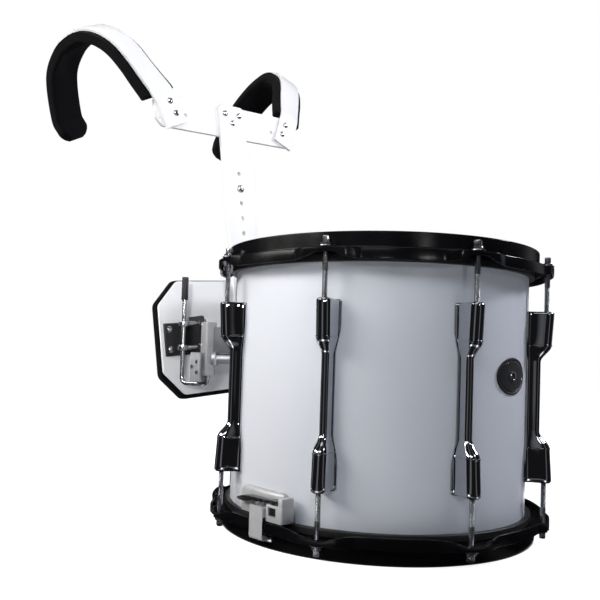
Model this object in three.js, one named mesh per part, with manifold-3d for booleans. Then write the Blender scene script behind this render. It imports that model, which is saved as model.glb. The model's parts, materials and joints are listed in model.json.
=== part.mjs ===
// Marching snare drum with its shoulder carrier, in millimetres, +Z up.
// The drum stands on its bottom hoop. The carrier hangs behind it (+Y) on two J-rods that hook
// into the drum's mounts; the wearer stands at +Y and the badge side of the drum is -Y.

import * as THREE from 'three';
import { mergeVertices } from 'three/addons/utils/BufferGeometryUtils.js';
import Module from 'manifold-3d';

const wasm = await Module();
wasm.setup();

const degrees = THREE.MathUtils.degToRad;

// Fits that many pieces share
const seatGap = 0.3; // between two pieces that touch
const overrun = 2; // how far a cut runs past the face it opens

// Shell
const shellRadius = 177.8; // a 14 inch drum
const shellWall = 6;
const shellDepth = 305; // 12 inches
const hoopRise = 12.7; // from the bearing edge to the rim of the hoop
const edgePeakInset = 1.5; // the bearing edge peaks this far inside the outer face
const ventRadius = 5;
const ventRise = 23; // the air hole lies this far above mid height
const ventAngle = 2.4; // degrees from the front
const drumHeight = shellDepth + 2 * hoopRise;
const midHeight = drumHeight / 2;
const shellTop = hoopRise + shellDepth;

// Heads
const filmThickness = 0.6;
const collarGap = 0.4; // between the shell and the head's collar
const fleshHoopWidth = 6.1;
const fleshHoopHeight = 8;

// Hoops
const hoopStandOff = 11.2; // from the shell to the outer face of the standing collar
const hoopRadius = shellRadius + hoopStandOff;
const hoopWall = 3.4;
const hoopFlange = 4;
const hoopLip = 2.4;
const flangeBelowEdge = 4.7; // from the bearing edge down to the flange's upper face
const flangeDrop = hoopRise + flangeBelowEdge;
const fleshHoopDrop = flangeBelowEdge + hoopFlange + seatGap; // the flesh hoop hangs under the flange
const flangeWidth = 9.5; // from the collar to the outer face of the turned-down skirt
const skirtRadius = hoopRadius + flangeWidth;
const skirtFlare = 1.2;
const skirtThickness = 2.6;
const skirtDepth = 12.5; // how far the skirt hangs below the flange's upper face
const earReach = 6.5; // past the skirt
const earRadius = skirtRadius + earReach;
const earDepth = 5;
const earHalfAngle = 5.6; // degrees
const earBlendAngle = 5.2; // degrees over which an ear runs into the skirt
const rimRound = 1.3;
const gateWidth = 32; // the opening for the snare strap in the bottom hoop
const gateHeight = 9;
const gateRise = 3; // from the rim to the gate

// Lugs and tension rods
const lugCount = 8;
const firstLugAngle = 22.5; // degrees from the front
const rodStandOff = 20.2; // from the shell to a rod's axis
const rodCircle = shellRadius + rodStandOff;
const lugMargin = 55.8; // from a bearing edge to a lug's end
const lugHeight = shellDepth - 2 * lugMargin;
const lugFlangeHalf = 12; // half width of the foot beside a barrel
const lugNeckFlangeHalf = 7;
const lugFlangeThickness = 2.4;
const barrelRadius = 7;
const neckRadius = 4.2;
const neckDrop = 10; // how much closer to the shell the neck runs than the barrels
const barrelLength = 38.6;
const barrelTaper = 16;
const barrelLip = 1; // rounding at a barrel's mouth
const rodRadius = 3;
const rodHoleGap = 0.5;
const rodEngagement = 26; // length of rod inside a barrel
const keyHeadSide = 6.4;
const keyHeadHeight = 7.2;
const rodCollarRadius = 5.6;
const rodCollarHeight = 1.8;
const washerRadius = 7.4;
const washerHeight = 2.4;

// Snares
const strandCount = 16;
const strandPitch = 2.6;
const strandSide = 1.5;
const strandMargin = 29.8; // from the shell's outer face to a strand's end
const strandLength = 2 * (shellRadius - strandMargin);
const snareDrop = 1.6; // clear space between the snare head and the strands
const endPlateLength = 9;
const endPlateMargin = 1.6;
const strapWidth = 25;
const strapThickness = 0.8;

// Strainer and butt plate; they sit on the shell over the two gates
const blockDepth = 20; // how far the strainer's pivot block stands off the shell
const backPlateDepth = 6.8;
const strainerClearance = 0.5; // above the skirt of the hoop
const strainerBottom = flangeDrop + skirtDepth + strainerClearance;
const strainerHeight = 18.4;
const strainerBackHalf = 16; // back plate, from the strap's centre line away from the block
const pivotBlockWidth = 21;
const pivotBlockFar = 36; // the block's far side from the strap's centre line
const windowWidth = 11;
const windowHeight = 8.5;
const windowDepth = 9;
const slideWall = 3;
const slideHeight = 9.4;
const slideRise = 3.6; // above the strainer's lower edge
const slideBottom = strainerBottom + slideRise;
const slideTravel = 2.5; // how far the slide drops as the lever opens
const knobRadius = 5.6;
const knobHeight = 4.4;
const knobRidges = 12;
const knobRidgeDepth = 0.6;
const leverThickness = 3.6;
const leverWidth = 9;
const leverReach = 66; // from its pivot to its tip
const leverPivotRadius = 6.5;
const leverPinRadius = 2.4;
const leverPinDepth = 6;
const leverDip = 4.5; // how far the tip is bent down
const buttHalf = 17;
const buttHeight = strainerHeight;
const buttBottom = strainerBottom;

// Carrier mounts on the drum, one each side of the back, and the J-rods that hook into them
const mountAngle = 144; // degrees from the front
const mountFootWidth = 30;
const mountFootHeight = 46;
const mountFootDepth = 4;
const studRadius = 6.5;
const postRadius = 10;
const postHeight = 40;
const postStandOff = 41.2; // from the shell to the upright post's axis
const postCircle = shellRadius + postStandOff;
const gussetWidth = 9;
const gussetHeight = 34;
const socketWidth = 34;
const socketDepth = 26;
const socketHeight = 38;
const socketWall = 3.2;
const socketSlotWidth = 5;
const socketSlotHeight = 4;
const socketSetBack = 7; // of the socket's middle from the post's
const socketCircle = postCircle + socketSetBack;
const jRodRadius = 3;
const jBendRadius = 9;
const jReach = 38; // from the upright forward to the hook's tip
const jTipAside = 4.16; // of the tip from the socket's middle
const jTipBehind = 1.16;
const jRodSide = socketCircle * Math.sin(degrees(mountAngle)) + jTipAside; // across from the drum's axis
const jRodBack = jTipBehind + jReach - socketCircle * Math.cos(degrees(mountAngle)); // behind that axis
const jTipHeight = 15;
const jTipGap = 0.3;
const sleeveRadius = 4.4;
const sleeveLength = 31;
const sleeveShift = 9; // the sleeve on the wearer's left is pushed this far up the rod

// Carrier frame. It leans back and to one side, as its J-rods are clamped at unequal heights.
const leanBack = 4.1; // degrees
const leanAside = 5.3; // degrees
const carrierSetForward = 22; // of its origin from the J-rods
const carrierBack = jRodBack - carrierSetForward;
const carrierDrop = 100.4; // of its origin below the drum's top
const carrierRise = drumHeight - carrierDrop;
const studDrop = 35; // of the mounts' studs below the carrier's origin
const studHeight = carrierRise - studDrop;
const jRodRise = 73; // of the J-rods' tops above the carrier's origin
const jRodTop = carrierRise + jRodRise;

// Rail, stem and bolts, measured along the carrier. Two bolts hold them together.
const railFront = 36;
const barThickness = 5;
const barGap = 0.3;
const railHalf = 28;
const railTop = 262;
const railBottom = -46;
const railCorner = 9;
const holePitch = 22.5;
const firstHole = 133.5;
const holeCount = 6;
const holeRadius = 3.1;
const boltHole = 4; // the visible bolt sits in this hole, counted from below
const stemHalf = 25;
const stemBottom = 76;
const stemSlotHalf = 3.9;
const stemUp = 40; // how far the stem slides up
const stemDown = 21; // and down
const boltRadius = 3;
const boltHeadRadius = 6.2;
const boltHeadHeight = 3.2;
const nutRadius = 6;
const nutHeight = 4.2;

// Crossbar
const crossbarBottom = 303;
const crossbarHeight = 48;
const crossbarTop = crossbarBottom + crossbarHeight;
const crossbarHalf = 136;
const crossbarChamfer = 11;
const crossbarHoleSide = 84;
const crossbarHoleRise = 21;

// Shoulder hooks, each a bent strap that leans outwards and turns its toe out
const hookLean = 24.9; // degrees
const hookToe = 7.9; // degrees, past the straight foot
const hookTwist = 50; // length over which the strap turns from the crossbar's plane to the toe
const hookInset = 32.5; // of the strap's centre line from the crossbar's end, at its foot
const hookBase = crossbarHalf - hookInset;
const hookFootRise = 3; // above the crossbar's lower edge
const hookFoot = crossbarBottom + hookFootRise;
const hookWidth = 36;
const hookThickness = barThickness - barGap;
const hookFlat = 50; // the foot's straight length, on the crossbar
const hookRise = 175;
const hookReach = 217;
// Where the strap runs after its foot, as shares of its rise and of its reach
const hookRouteShares = [
  [0.44, 0.041], [0.712, 0.119], [0.868, 0.212], [0.965, 0.331], [1, 0.462],
  [0.965, 0.65], [0.813, 0.848], [0.49, 0.996], [0.34, 1], [0.25, 0.985],
];
const hookSteps = 20; // of the strap and its pad, which share them

// Shoulder pads
const shoulderPadWidth = 52;
const shoulderPadThickness = 15.5;
const shoulderPadStart = 50; // up the hook from its foot
// The pad's section from the strap inwards: across, as a share of its half width, and depth
const padSectionShares = [[1, 0], [1, 0.68], [0.95, 0.92], [0.8, 1]];
// The pad's last steps along the hook, with its width and depth there; the strap stops at the first
const padEndShares = [[0.985, 0.84, 0.92], [1, 0.62, 0.7]];
const padRoundShare = 0.96; // where the pad's end begins to round

// Belly plate and its pad
const plateSideMargin = 5; // past the brackets
const plateTop = 85;
const plateBottom = -73;
const plateChamfer = 33;
const plateThickness = 3;
const bellyPadThickness = 13;
const bellyPadDrop = 6; // the pad reaches this far below the plate
const bellyPadMargin = 1.6;
const bellyPadCrown = 4;

// Brackets and eye bolts that hold the J-rods
const bracketReach = 14; // outer edge past the J-rod
const bracketFar = jRodSide + bracketReach;
const cheekGap = 27; // from the J-rod to the upstanding cheek
const bracketNear = jRodSide - cheekGap;
const plateHalf = bracketFar + plateSideMargin; // of the belly plate
const bracketBottom = -18;
const bracketTop = 27;
const bracketThickness = 4;
const cheekReach = 30; // how far the cheek stands forward
const cheekTop = 34;
const upperEyeRise = 10; // above the carrier's origin, on the wearer's right
const upperEyeHeight = carrierRise + upperEyeRise;
const eyeSpacing = 32;
const eyeRadius = 7;
const eyeHeight = 7;
const eyeBore = jRodRadius + seatGap;
const shankRadius = 3;
const shankGap = 0.5;
const tiltRange = 8; // degrees each way
const eyeNutRadius = 6.2;
const eyeNutHeight = 5;

// How finely round shapes are divided
const drumSides = 72;
const smallSides = 12;
const rodSides = 8;
const lugRoundSides = 6;

const white = { color: 0xe9ebef, roughness: 0.25, metalness: 0 };
const shellWhite = { color: 0xd4d8e6, roughness: 0.12, metalness: 0 };
const blackPaint = { color: 0x141416, roughness: 0.35, metalness: 0.1 };
const chrome = { color: 0xc9ccd2, roughness: 0.12, metalness: 1 };
const darkChrome = { color: 0x3b3d42, roughness: 0.15, metalness: 1 };
const headFilm = { color: 0xf2f2ee, roughness: 0.5, metalness: 0 };
const foam = { color: 0x17181b, roughness: 0.9, metalness: 0 };
const rubber = { color: 0x1b1b1d, roughness: 0.75, metalness: 0 };
const plastic = { color: 0xbfc0c0, roughness: 0.45, metalness: 0 };

const at = (x, y, z) => new THREE.Vector3(x, y, z);

const part = new THREE.Group();
const carrier = new THREE.Group();
carrier.position.set(0, carrierBack, carrierRise);
carrier.rotation.set(-degrees(leanBack), -degrees(leanAside), 0, 'YXZ');
part.add(carrier);

function addMesh(name, geometry, look, home = part) {
  const shape = geometry.index ? geometry.toNonIndexed() : geometry;
  shape.computeVertexNormals();
  const mesh = new THREE.Mesh(shape, new THREE.MeshStandardMaterial(look));
  mesh.name = name;
  home.add(mesh);
  return mesh;
}

// The vertices in millionths of the drum's size, so that equal corners are found as one
const weldDistance = drumHeight * 1e-7;

function toSolid(geometry) {
  const bare = geometry.clone();
  bare.deleteAttribute('normal');
  bare.deleteAttribute('uv');
  const merged = mergeVertices(bare, weldDistance);
  return new wasm.Manifold(new wasm.Mesh({
    numProp: 3,
    vertProperties: new Float32Array(merged.attributes.position.array),
    triVerts: new Uint32Array(merged.index.array),
  }));
}

function toGeometry(solid) {
  const mesh = solid.getMesh();
  const corners = new Float32Array((mesh.vertProperties.length / mesh.numProp) * 3);
  for (let i = 0; i < corners.length / 3; i += 1) {
    for (let k = 0; k < 3; k += 1) corners[3 * i + k] = mesh.vertProperties[mesh.numProp * i + k];
  }
  const geometry = new THREE.BufferGeometry();
  geometry.setAttribute('position', new THREE.BufferAttribute(corners, 3));
  geometry.setIndex(Array.from(mesh.triVerts));
  return geometry;
}

function join(...pieces) {
  return toGeometry(pieces.map(toSolid).reduce((whole, next) => whole.add(next)));
}

function cut(body, ...tools) {
  return toGeometry(tools.map(toSolid).reduce((left, next) => left.subtract(next), toSolid(body)));
}

function signedVolume(points, faces) {
  let sum = 0;
  for (let i = 0; i < faces.length; i += 3) {
    const [a, b, c] = [points[faces[i]], points[faces[i + 1]], points[faces[i + 2]]];
    sum += a.dot(b.clone().cross(c));
  }
  return sum;
}

// Triangles that fill one flat ring, turned the way the ring runs
function capFaces(ring, first) {
  const centre = ring.reduce((sum, p) => sum.add(p), at(0, 0, 0)).divideScalar(ring.length);
  const normal = at(0, 0, 0);
  ring.forEach((p, i) => {
    const next = ring[(i + 1) % ring.length];
    normal.add(p.clone().sub(centre).cross(next.clone().sub(centre)));
  });
  normal.normalize();
  const across = ring[0].clone().sub(centre);
  across.addScaledVector(normal, -across.dot(normal)).normalize();
  const up = normal.clone().cross(across);
  const flat = ring.map((p) => {
    const arm = p.clone().sub(centre);
    return new THREE.Vector2(arm.dot(across), arm.dot(up));
  });
  const faces = [];
  for (const [a, b, c] of THREE.ShapeUtils.triangulateShape(flat, [])) {
    const turn = THREE.ShapeUtils.area([flat[a], flat[b], flat[c]]);
    faces.push(first + a, first + (turn > 0 ? b : c), first + (turn > 0 ? c : b));
  }
  return faces;
}

// A closed body through rings of equal count, either capped at both ends or closed on itself
function skin(rings, closed = false) {
  const count = rings[0].length;
  const points = rings.flat();
  const faces = [];
  const steps = closed ? rings.length : rings.length - 1;
  for (let i = 0; i < steps; i += 1) {
    const here = i * count;
    const there = ((i + 1) % rings.length) * count;
    for (let j = 0; j < count; j += 1) {
      const k = (j + 1) % count;
      faces.push(here + j, there + j, there + k, here + j, there + k, here + k);
    }
  }
  if (!closed) {
    const last = (rings.length - 1) * count;
    faces.push(...capFaces(rings[0], 0));
    const end = capFaces(rings[rings.length - 1], last);
    for (let i = 0; i < end.length; i += 3) faces.push(end[i], end[i + 2], end[i + 1]);
  }
  if (signedVolume(points, faces) < 0) {
    for (let i = 0; i < faces.length; i += 3) [faces[i + 1], faces[i + 2]] = [faces[i + 2], faces[i + 1]];
  }
  const geometry = new THREE.BufferGeometry();
  geometry.setAttribute('position', new THREE.BufferAttribute(new Float32Array(
    points.flatMap((p) => [p.x, p.y, p.z])), 3));
  geometry.setIndex(faces);
  return geometry;
}

function block(from, to) {
  const size = to.clone().sub(from);
  const middle = from.clone().add(to).multiplyScalar(0.5);
  const geometry = new THREE.BoxGeometry(size.x, size.y, size.z);
  return geometry.translate(middle.x, middle.y, middle.z);
}

// A round bar between two points
function bar(radius, from, to, sides = smallSides) {
  const arm = to.clone().sub(from);
  const geometry = new THREE.CylinderGeometry(radius, radius, arm.length(), sides);
  geometry.applyQuaternion(new THREE.Quaternion().setFromUnitVectors(at(0, 1, 0), arm.normalize()));
  const middle = from.clone().add(to).multiplyScalar(0.5);
  return geometry.translate(middle.x, middle.y, middle.z);
}

function lathe(profile, sides) {
  const geometry = new THREE.LatheGeometry(profile.map(([r, z]) => new THREE.Vector2(r, z)), sides);
  geometry.rotateX(Math.PI / 2);
  const points = geometry.attributes.position;
  geometry.deleteAttribute('normal');
  geometry.deleteAttribute('uv');
  const merged = mergeVertices(geometry, weldDistance);
  const corners = [];
  for (let i = 0; i < merged.attributes.position.count; i += 1) {
    corners.push(new THREE.Vector3().fromBufferAttribute(merged.attributes.position, i));
  }
  const faces = Array.from(merged.index.array);
  const kept = [];
  for (let i = 0; i < faces.length; i += 3) {
    const [a, b, c] = faces.slice(i, i + 3);
    if (a !== b && b !== c && c !== a) kept.push(a, b, c);
  }
  if (signedVolume(corners, kept) < 0) {
    for (let i = 0; i < kept.length; i += 3) [kept[i + 1], kept[i + 2]] = [kept[i + 2], kept[i + 1]];
  }
  merged.setIndex(kept);
  return points ? merged : geometry;
}

// A flat outline in x and z, given a thickness from front to back
function plate(outline, holes, front, thickness) {
  const shape = new THREE.Shape(outline.map(([x, z]) => new THREE.Vector2(x, z)));
  for (const hole of holes) shape.holes.push(new THREE.Path(hole));
  const geometry = new THREE.ExtrudeGeometry(shape, { depth: thickness, bevelEnabled: false });
  geometry.rotateX(Math.PI / 2);
  return geometry.translate(0, front + thickness, 0);
}

function roundHole(x, z, radius, sides = smallSides) {
  return Array.from({ length: sides }, (_, i) => {
    const turn = (2 * Math.PI * i) / sides;
    return new THREE.Vector2(x + radius * Math.cos(turn), z + radius * Math.sin(turn));
  });
}

// An upright slot with round ends
function slotHole(x, low, high, half) {
  const bend = smallSides / 2;
  const points = [];
  for (let i = 0; i <= bend; i += 1) {
    const turn = Math.PI * (i / bend);
    points.push(new THREE.Vector2(x + half * Math.cos(turn), high - half + half * Math.sin(turn)));
  }
  for (let i = 0; i <= bend; i += 1) {
    const turn = Math.PI * (1 + i / bend);
    points.push(new THREE.Vector2(x + half * Math.cos(turn), low + half + half * Math.sin(turn)));
  }
  return points;
}

// The direction that leaves the drum's axis at an angle from the front, towards the wearer's left
const outward = (angle) => at(Math.sin(degrees(angle)), -Math.cos(degrees(angle)), 0);
const sideways = (angle) => at(Math.cos(degrees(angle)), Math.sin(degrees(angle)), 0);
const ringPoint = (angle, radius, z) => outward(angle).multiplyScalar(radius).setZ(z);

function makeShell() {
  const inner = shellRadius - shellWall;
  const peak = shellRadius - edgePeakInset;
  const slope = peak - inner;
  const profile = [
    [inner, hoopRise + slope], [peak, hoopRise], [shellRadius, hoopRise + edgePeakInset],
    [shellRadius, shellTop - edgePeakInset], [peak, shellTop], [inner, shellTop - slope],
    [inner, hoopRise + slope],
  ];
  const vent = bar(ventRadius, ringPoint(ventAngle, shellRadius + overrun, midHeight + ventRise),
    ringPoint(ventAngle, inner - overrun, midHeight + ventRise));
  addMesh('shell', cut(lathe(profile, drumSides), vent), shellWhite);
}

// The head's profile above the top bearing edge; the snare side is the same turned over
function headProfile() {
  const peak = shellRadius - edgePeakInset;
  const under = shellTop + seatGap;
  const inner = shellRadius + collarGap;
  const fleshTop = shellTop - fleshHoopDrop;
  const bend = shellTop - edgePeakInset + seatGap;
  return [
    [0, under], [peak, under], [inner, bend], [inner, fleshTop - fleshHoopHeight],
    [inner + fleshHoopWidth, fleshTop - fleshHoopHeight], [inner + fleshHoopWidth, fleshTop],
    [inner + filmThickness, fleshTop], [inner + filmThickness, bend],
    [peak, under + filmThickness], [0, under + filmThickness],
  ];
}

const turnOver = (profile) => profile.map(([r, z]) => [r, drumHeight - z]);

function makeHeads() {
  addMesh('batter_head', lathe(headProfile(), drumSides), headFilm);
  addMesh('snare_head', lathe(turnOver(headProfile()), drumSides), headFilm);
}

// 1 at an ear, 0 on the skirt between two ears
function earBlend(angle) {
  const pitch = 360 / lugCount;
  const off = Math.abs(((((angle - firstLugAngle) % pitch) + 1.5 * pitch) % pitch) - pitch / 2);
  const t = THREE.MathUtils.clamp((off - earHalfAngle) / earBlendAngle, 0, 1);
  return 1 - t * t * (3 - 2 * t);
}

function hoopSection(angle) {
  const rim = drumHeight;
  const top = rim - flangeDrop;
  const bottom = top - hoopFlange;
  const lip = shellRadius + collarGap + filmThickness + seatGap;
  const inner = hoopRadius - hoopWall;
  const ear = earBlend(angle);
  const outer = THREE.MathUtils.lerp(skirtRadius, earRadius, ear);
  const hem = top - THREE.MathUtils.lerp(skirtDepth, earDepth, ear);
  const flare = skirtFlare * (1 - ear);
  return [
    [lip, bottom], [lip, bottom + hoopLip], [inner, top], [inner, rim - rimRound],
    [inner + rimRound, rim], [hoopRadius - rimRound, rim], [hoopRadius, rim - rimRound],
    [hoopRadius, top + rimRound], [hoopRadius + rimRound, top], [outer - rimRound, top],
    [outer, top - rimRound],
    [outer + flare, hem], [outer + flare - skirtThickness, hem], [outer - skirtThickness, bottom],
  ];
}

// Angles of the hoop's sections, closer together where an ear runs into the skirt
function hoopAngles() {
  const pitch = 360 / lugCount;
  const half = pitch / 2;
  const reach = earHalfAngle + earBlendAngle;
  const inside = [0, earHalfAngle, earHalfAngle + earBlendAngle / 2, reach, (reach + half) / 2];
  const offsets = [...inside.slice(1).reverse().map((a) => -a), ...inside, half];
  const angles = [];
  for (let i = 0; i < lugCount; i += 1) {
    offsets.forEach((a) => angles.push(firstLugAngle + i * pitch + a));
  }
  return angles;
}

function makeHoop(name, flip) {
  const rings = hoopAngles().map((angle) => hoopSection(angle).map(([r, z]) => (
    ringPoint(angle, r, flip ? drumHeight - z : z))));
  const top = drumHeight - flangeDrop;
  const tools = [];
  for (let i = 0; i < lugCount; i += 1) {
    const angle = firstLugAngle + (i * 360) / lugCount;
    const from = ringPoint(angle, rodCircle, (flip ? drumHeight - top : top) + overrun);
    const to = from.clone().setZ(flip ? drumHeight - top : top);
    const past = (flip ? -1 : 1) * (overrun + hoopFlange + earDepth);
    tools.push(bar(rodRadius + rodHoleGap, from.setZ(to.z + past), to.clone().setZ(to.z - past)));
  }
  if (flip) {
    const reach = hoopRadius + overrun;
    const low = gateRise;
    const high = gateRise + gateHeight;
    tools.push(block(at(-reach, -gateWidth / 2, low), at(-reach + hoopWall + 3 * overrun, gateWidth / 2, high)));
    tools.push(block(at(reach - hoopWall - 3 * overrun, -gateWidth / 2, low), at(reach, gateWidth / 2, high)));
  }
  addMesh(name, cut(skin(rings, true), ...tools), blackPaint);
}

// One level of a lug: a foot on the shell, a web and a round back
function lugSection(angle, z, flangeHalf, round, back) {
  const foot = shellRadius + seatGap;
  const web = foot + lugFlangeThickness;
  const footDrop = foot - Math.sqrt(foot ** 2 - flangeHalf ** 2);
  const outline = [
    [-flangeHalf, foot - footDrop], [-flangeHalf, web - footDrop], [-round, web + lugFlangeThickness / 2],
  ];
  for (let i = 0; i <= lugRoundSides; i += 1) {
    const turn = Math.PI * (1 - i / lugRoundSides);
    outline.push([round * Math.cos(turn), back - round + round * Math.sin(turn)]);
  }
  outline.push([round, web + lugFlangeThickness / 2], [flangeHalf, web - footDrop],
    [flangeHalf, foot - footDrop], [0, foot]);
  const [out, side] = [outward(angle), sideways(angle)];
  return outline.map(([across, r]) => at(0, 0, z).addScaledVector(side, across).addScaledVector(out, r));
}

function makeLug(index, angle) {
  const half = lugHeight / 2;
  const barrelBack = rodCircle + barrelRadius;
  const neckBack = barrelBack - neckDrop;
  const levels = [
    [half, lugFlangeHalf - barrelLip, barrelRadius - barrelLip, barrelBack - barrelLip],
    [half - barrelLip, lugFlangeHalf, barrelRadius, barrelBack],
    [half - barrelLength, lugFlangeHalf, barrelRadius, barrelBack],
  ];
  for (const share of [0.3, 0.7, 1]) {
    const ease = share * share * (3 - 2 * share);
    levels.push([half - barrelLength - barrelTaper * share,
      THREE.MathUtils.lerp(lugFlangeHalf, lugNeckFlangeHalf, ease),
      THREE.MathUtils.lerp(barrelRadius, neckRadius, ease),
      THREE.MathUtils.lerp(barrelBack, neckBack, ease)]);
  }
  const all = [...levels, ...levels.map(([z, ...rest]) => [-z, ...rest]).reverse()];
  const rings = all.map(([z, ...rest]) => lugSection(angle, midHeight + z, ...rest));
  const bores = [1, -1].map((way) => bar(rodRadius + rodHoleGap,
    ringPoint(angle, rodCircle, midHeight + way * (half + overrun)),
    ringPoint(angle, rodCircle, midHeight + way * (half - rodEngagement - overrun))));
  addMesh(`lug_${index}`, cut(skin(rings), ...bores), darkChrome);
}

function makeTensionRod(name, angle, flip) {
  const seat = drumHeight - flangeDrop + seatGap;
  const washerTop = seat + washerHeight;
  const collarTop = washerTop + rodCollarHeight;
  const end = midHeight + lugHeight / 2 - rodEngagement;
  const profile = [
    [0, end], [rodRadius, end], [rodRadius, seat], [washerRadius, seat],
    [washerRadius, seat + washerHeight / 2], [rodCollarRadius, washerTop],
    [rodCollarRadius, collarTop], [0, collarTop],
  ];
  const half = keyHeadSide / 2;
  const head = block(at(-half, -half, collarTop - washerHeight / 2), at(half, half, collarTop + keyHeadHeight));
  const rod = join(lathe(profile, rodSides), head);
  if (flip) rod.rotateX(Math.PI).translate(0, 0, drumHeight);
  rod.rotateZ(degrees(angle));
  const place = ringPoint(angle, rodCircle, 0);
  addMesh(name, rod.translate(place.x, place.y, place.z), chrome);
}

function makeTensioning() {
  for (let i = 0; i < lugCount; i += 1) {
    const angle = firstLugAngle + (i * 360) / lugCount;
    makeLug(i + 1, angle);
    makeTensionRod(`tension_rod_top_${i + 1}`, angle, false);
    makeTensionRod(`tension_rod_bottom_${i + 1}`, angle, true);
  }
}

// Strands side by side under the snare head, joined by a plate at each end
function makeSnares() {
  const top = drumHeight - shellTop - seatGap - filmThickness - snareDrop;
  const reach = strandLength / 2;
  const half = ((strandCount - 1) * strandPitch + strandSide) / 2;
  const pieces = [];
  for (let i = 0; i < strandCount; i += 1) {
    const y = (i - (strandCount - 1) / 2) * strandPitch;
    pieces.push(block(at(-reach, y - strandSide / 2, top - strandSide), at(reach, y + strandSide / 2, top)));
  }
  for (const way of [-1, 1]) {
    const inner = way * (reach - endPlateLength / 2);
    const outer = way * (reach + endPlateLength / 2);
    pieces.push(block(
      at(Math.min(inner, outer), -half - endPlateMargin, top - strandSide - endPlateMargin / 2),
      at(Math.max(inner, outer), half + endPlateMargin, top + endPlateMargin / 2)));
  }
  addMesh('snare_wires', join(...pieces), chrome);
}

// A place beside the shell: how far out from the axis, along the hoop towards +Y, and up.
// way is -1 on the strainer's side and 1 on the butt's.
const beside = (way, out, along, z) => at(way * out, along, z);

function sideBlock(way, out1, out2, along1, along2, low, high) {
  const [a, b] = [way * out1, way * out2];
  return block(at(Math.min(a, b), along1, low), at(Math.max(a, b), along2, high));
}

const strapInner = shellRadius + backPlateDepth + slideWall + seatGap;

// The strap's route in steps of out from the axis and up, from the clamp to the snares
function strapRoute() {
  const outside = skirtRadius + skirtFlare + 1.5 * strapThickness;
  const gateMiddle = gateRise + gateHeight / 2;
  const snareTop = drumHeight - shellTop - seatGap - filmThickness - snareDrop;
  const under = snareTop - strandSide / 2;
  const overSkirt = flangeDrop + skirtDepth + slideTravel + seatGap + strapThickness / 2;
  const inside = strandLength / 2 + endPlateLength / 2 + seatGap;
  const bend = gateHeight / 3;
  return [
    [strapInner, slideBottom + slideHeight], [strapInner, slideBottom],
    [strapInner + strapThickness, overSkirt], [outside - bend / 2, overSkirt],
    [outside, overSkirt - bend / 2], [outside, gateMiddle + 2 * bend],
    [outside - bend / 2, gateMiddle + bend / 2], [outside - 2 * bend, gateMiddle],
    [hoopRadius - hoopWall - 2 * bend, under + bend / 3], [inside, under],
  ];
}

function makeStrap(name, way) {
  const route = strapRoute().map(([out, z]) => new THREE.Vector2(out, z));
  const half = strapWidth / 2;
  const rings = route.map((p, i) => {
    const before = route[Math.max(i - 1, 0)];
    const after = route[Math.min(i + 1, route.length - 1)];
    const run = after.clone().sub(before).normalize();
    const off = new THREE.Vector2(-run.y, run.x).multiplyScalar(strapThickness / 2);
    const [a, b] = [p.clone().add(off), p.clone().sub(off)];
    return [beside(way, a.x, -half, a.y), beside(way, a.x, half, a.y),
      beside(way, b.x, half, b.y), beside(way, b.x, -half, b.y)];
  });
  addMesh(name, skin(rings), plastic);
}

// A foot that follows the shell, drawn from above and raised
function curvedFoot(centreAngle, along1, along2, front, low, high) {
  const inner = shellRadius + seatGap;
  const steps = rodSides;
  const outline = [];
  for (let i = 0; i <= steps; i += 1) {
    const along = THREE.MathUtils.lerp(along1, along2, i / steps);
    outline.push([along, Math.sqrt(inner ** 2 - along ** 2)]);
  }
  outline.push([along2, front], [along1, front]);
  const [out, side] = [outward(centreAngle), sideways(centreAngle)];
  const rings = [low, high].map((z) => outline.map(([along, r]) => (
    at(0, 0, z).addScaledVector(out, r).addScaledVector(side, along))));
  return skin(rings);
}

function makeStrainer() {
  const way = -1;
  const face = shellRadius + backPlateDepth;
  const top = strainerBottom + strainerHeight;
  const blockFace = shellRadius + blockDepth;
  const near = -pivotBlockFar + pivotBlockWidth;
  const foot = curvedFoot(-90, -strainerBackHalf, pivotBlockFar, face, strainerBottom, top);
  const pivotBlock = sideBlock(way, face - overrun, blockFace, -pivotBlockFar, near,
    strainerBottom + strainerHeight / 3, top);
  const middle = (-pivotBlockFar + near) / 2;
  const windowTop = top - (strainerHeight - windowHeight) / 4;
  const window = sideBlock(way, blockFace - windowDepth, blockFace + overrun,
    middle - windowWidth / 2, middle + windowWidth / 2, windowTop - windowHeight, windowTop);
  const pivotOut = (face + blockFace) / 2;
  const pinHole = bar(leverPinRadius + rodHoleGap, beside(way, pivotOut, middle, top + overrun),
    beside(way, pivotOut, middle, top - leverPinDepth - rodHoleGap));
  addMesh('strainer_base', cut(join(foot, pivotBlock), window, pinHole), chrome);
  makeSlideAndKnob(way, face);
  makeLever(way, pivotOut, middle, top);
}

function makeSlideAndKnob(way, face) {
  const slotHalf = strapWidth / 2 + seatGap;
  const inner = face + seatGap;
  const strapFace = strapInner + strapThickness;
  const outer = strapFace + slideWall;
  const high = slideBottom + slideHeight;
  const body = sideBlock(way, inner, outer, -slotHalf - slideWall / 2, slotHalf + slideWall / 2, slideBottom, high);
  const slot = sideBlock(way, strapInner - strapThickness, strapFace, -slotHalf, slotHalf,
    slideBottom - overrun, high + overrun);
  addMesh('strainer_slide', cut(body, slot), chrome);
  const knobOut = inner + seatGap + knobRadius;
  const profile = [];
  const turns = knobRidges * 2;
  for (let i = 0; i < turns; i += 1) {
    const turn = (2 * Math.PI * i) / turns;
    const radius = knobRadius - (i % 2) * knobRidgeDepth;
    profile.push([radius * Math.cos(turn), radius * Math.sin(turn)]);
  }
  const centre = beside(way, knobOut, 0, high + seatGap);
  const rings = [0, knobHeight].map((rise) => profile.map(([x, y]) => (
    at(centre.x + x, centre.y + y, centre.z + rise))));
  addMesh('strainer_knob', skin(rings), chrome);
}

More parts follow.
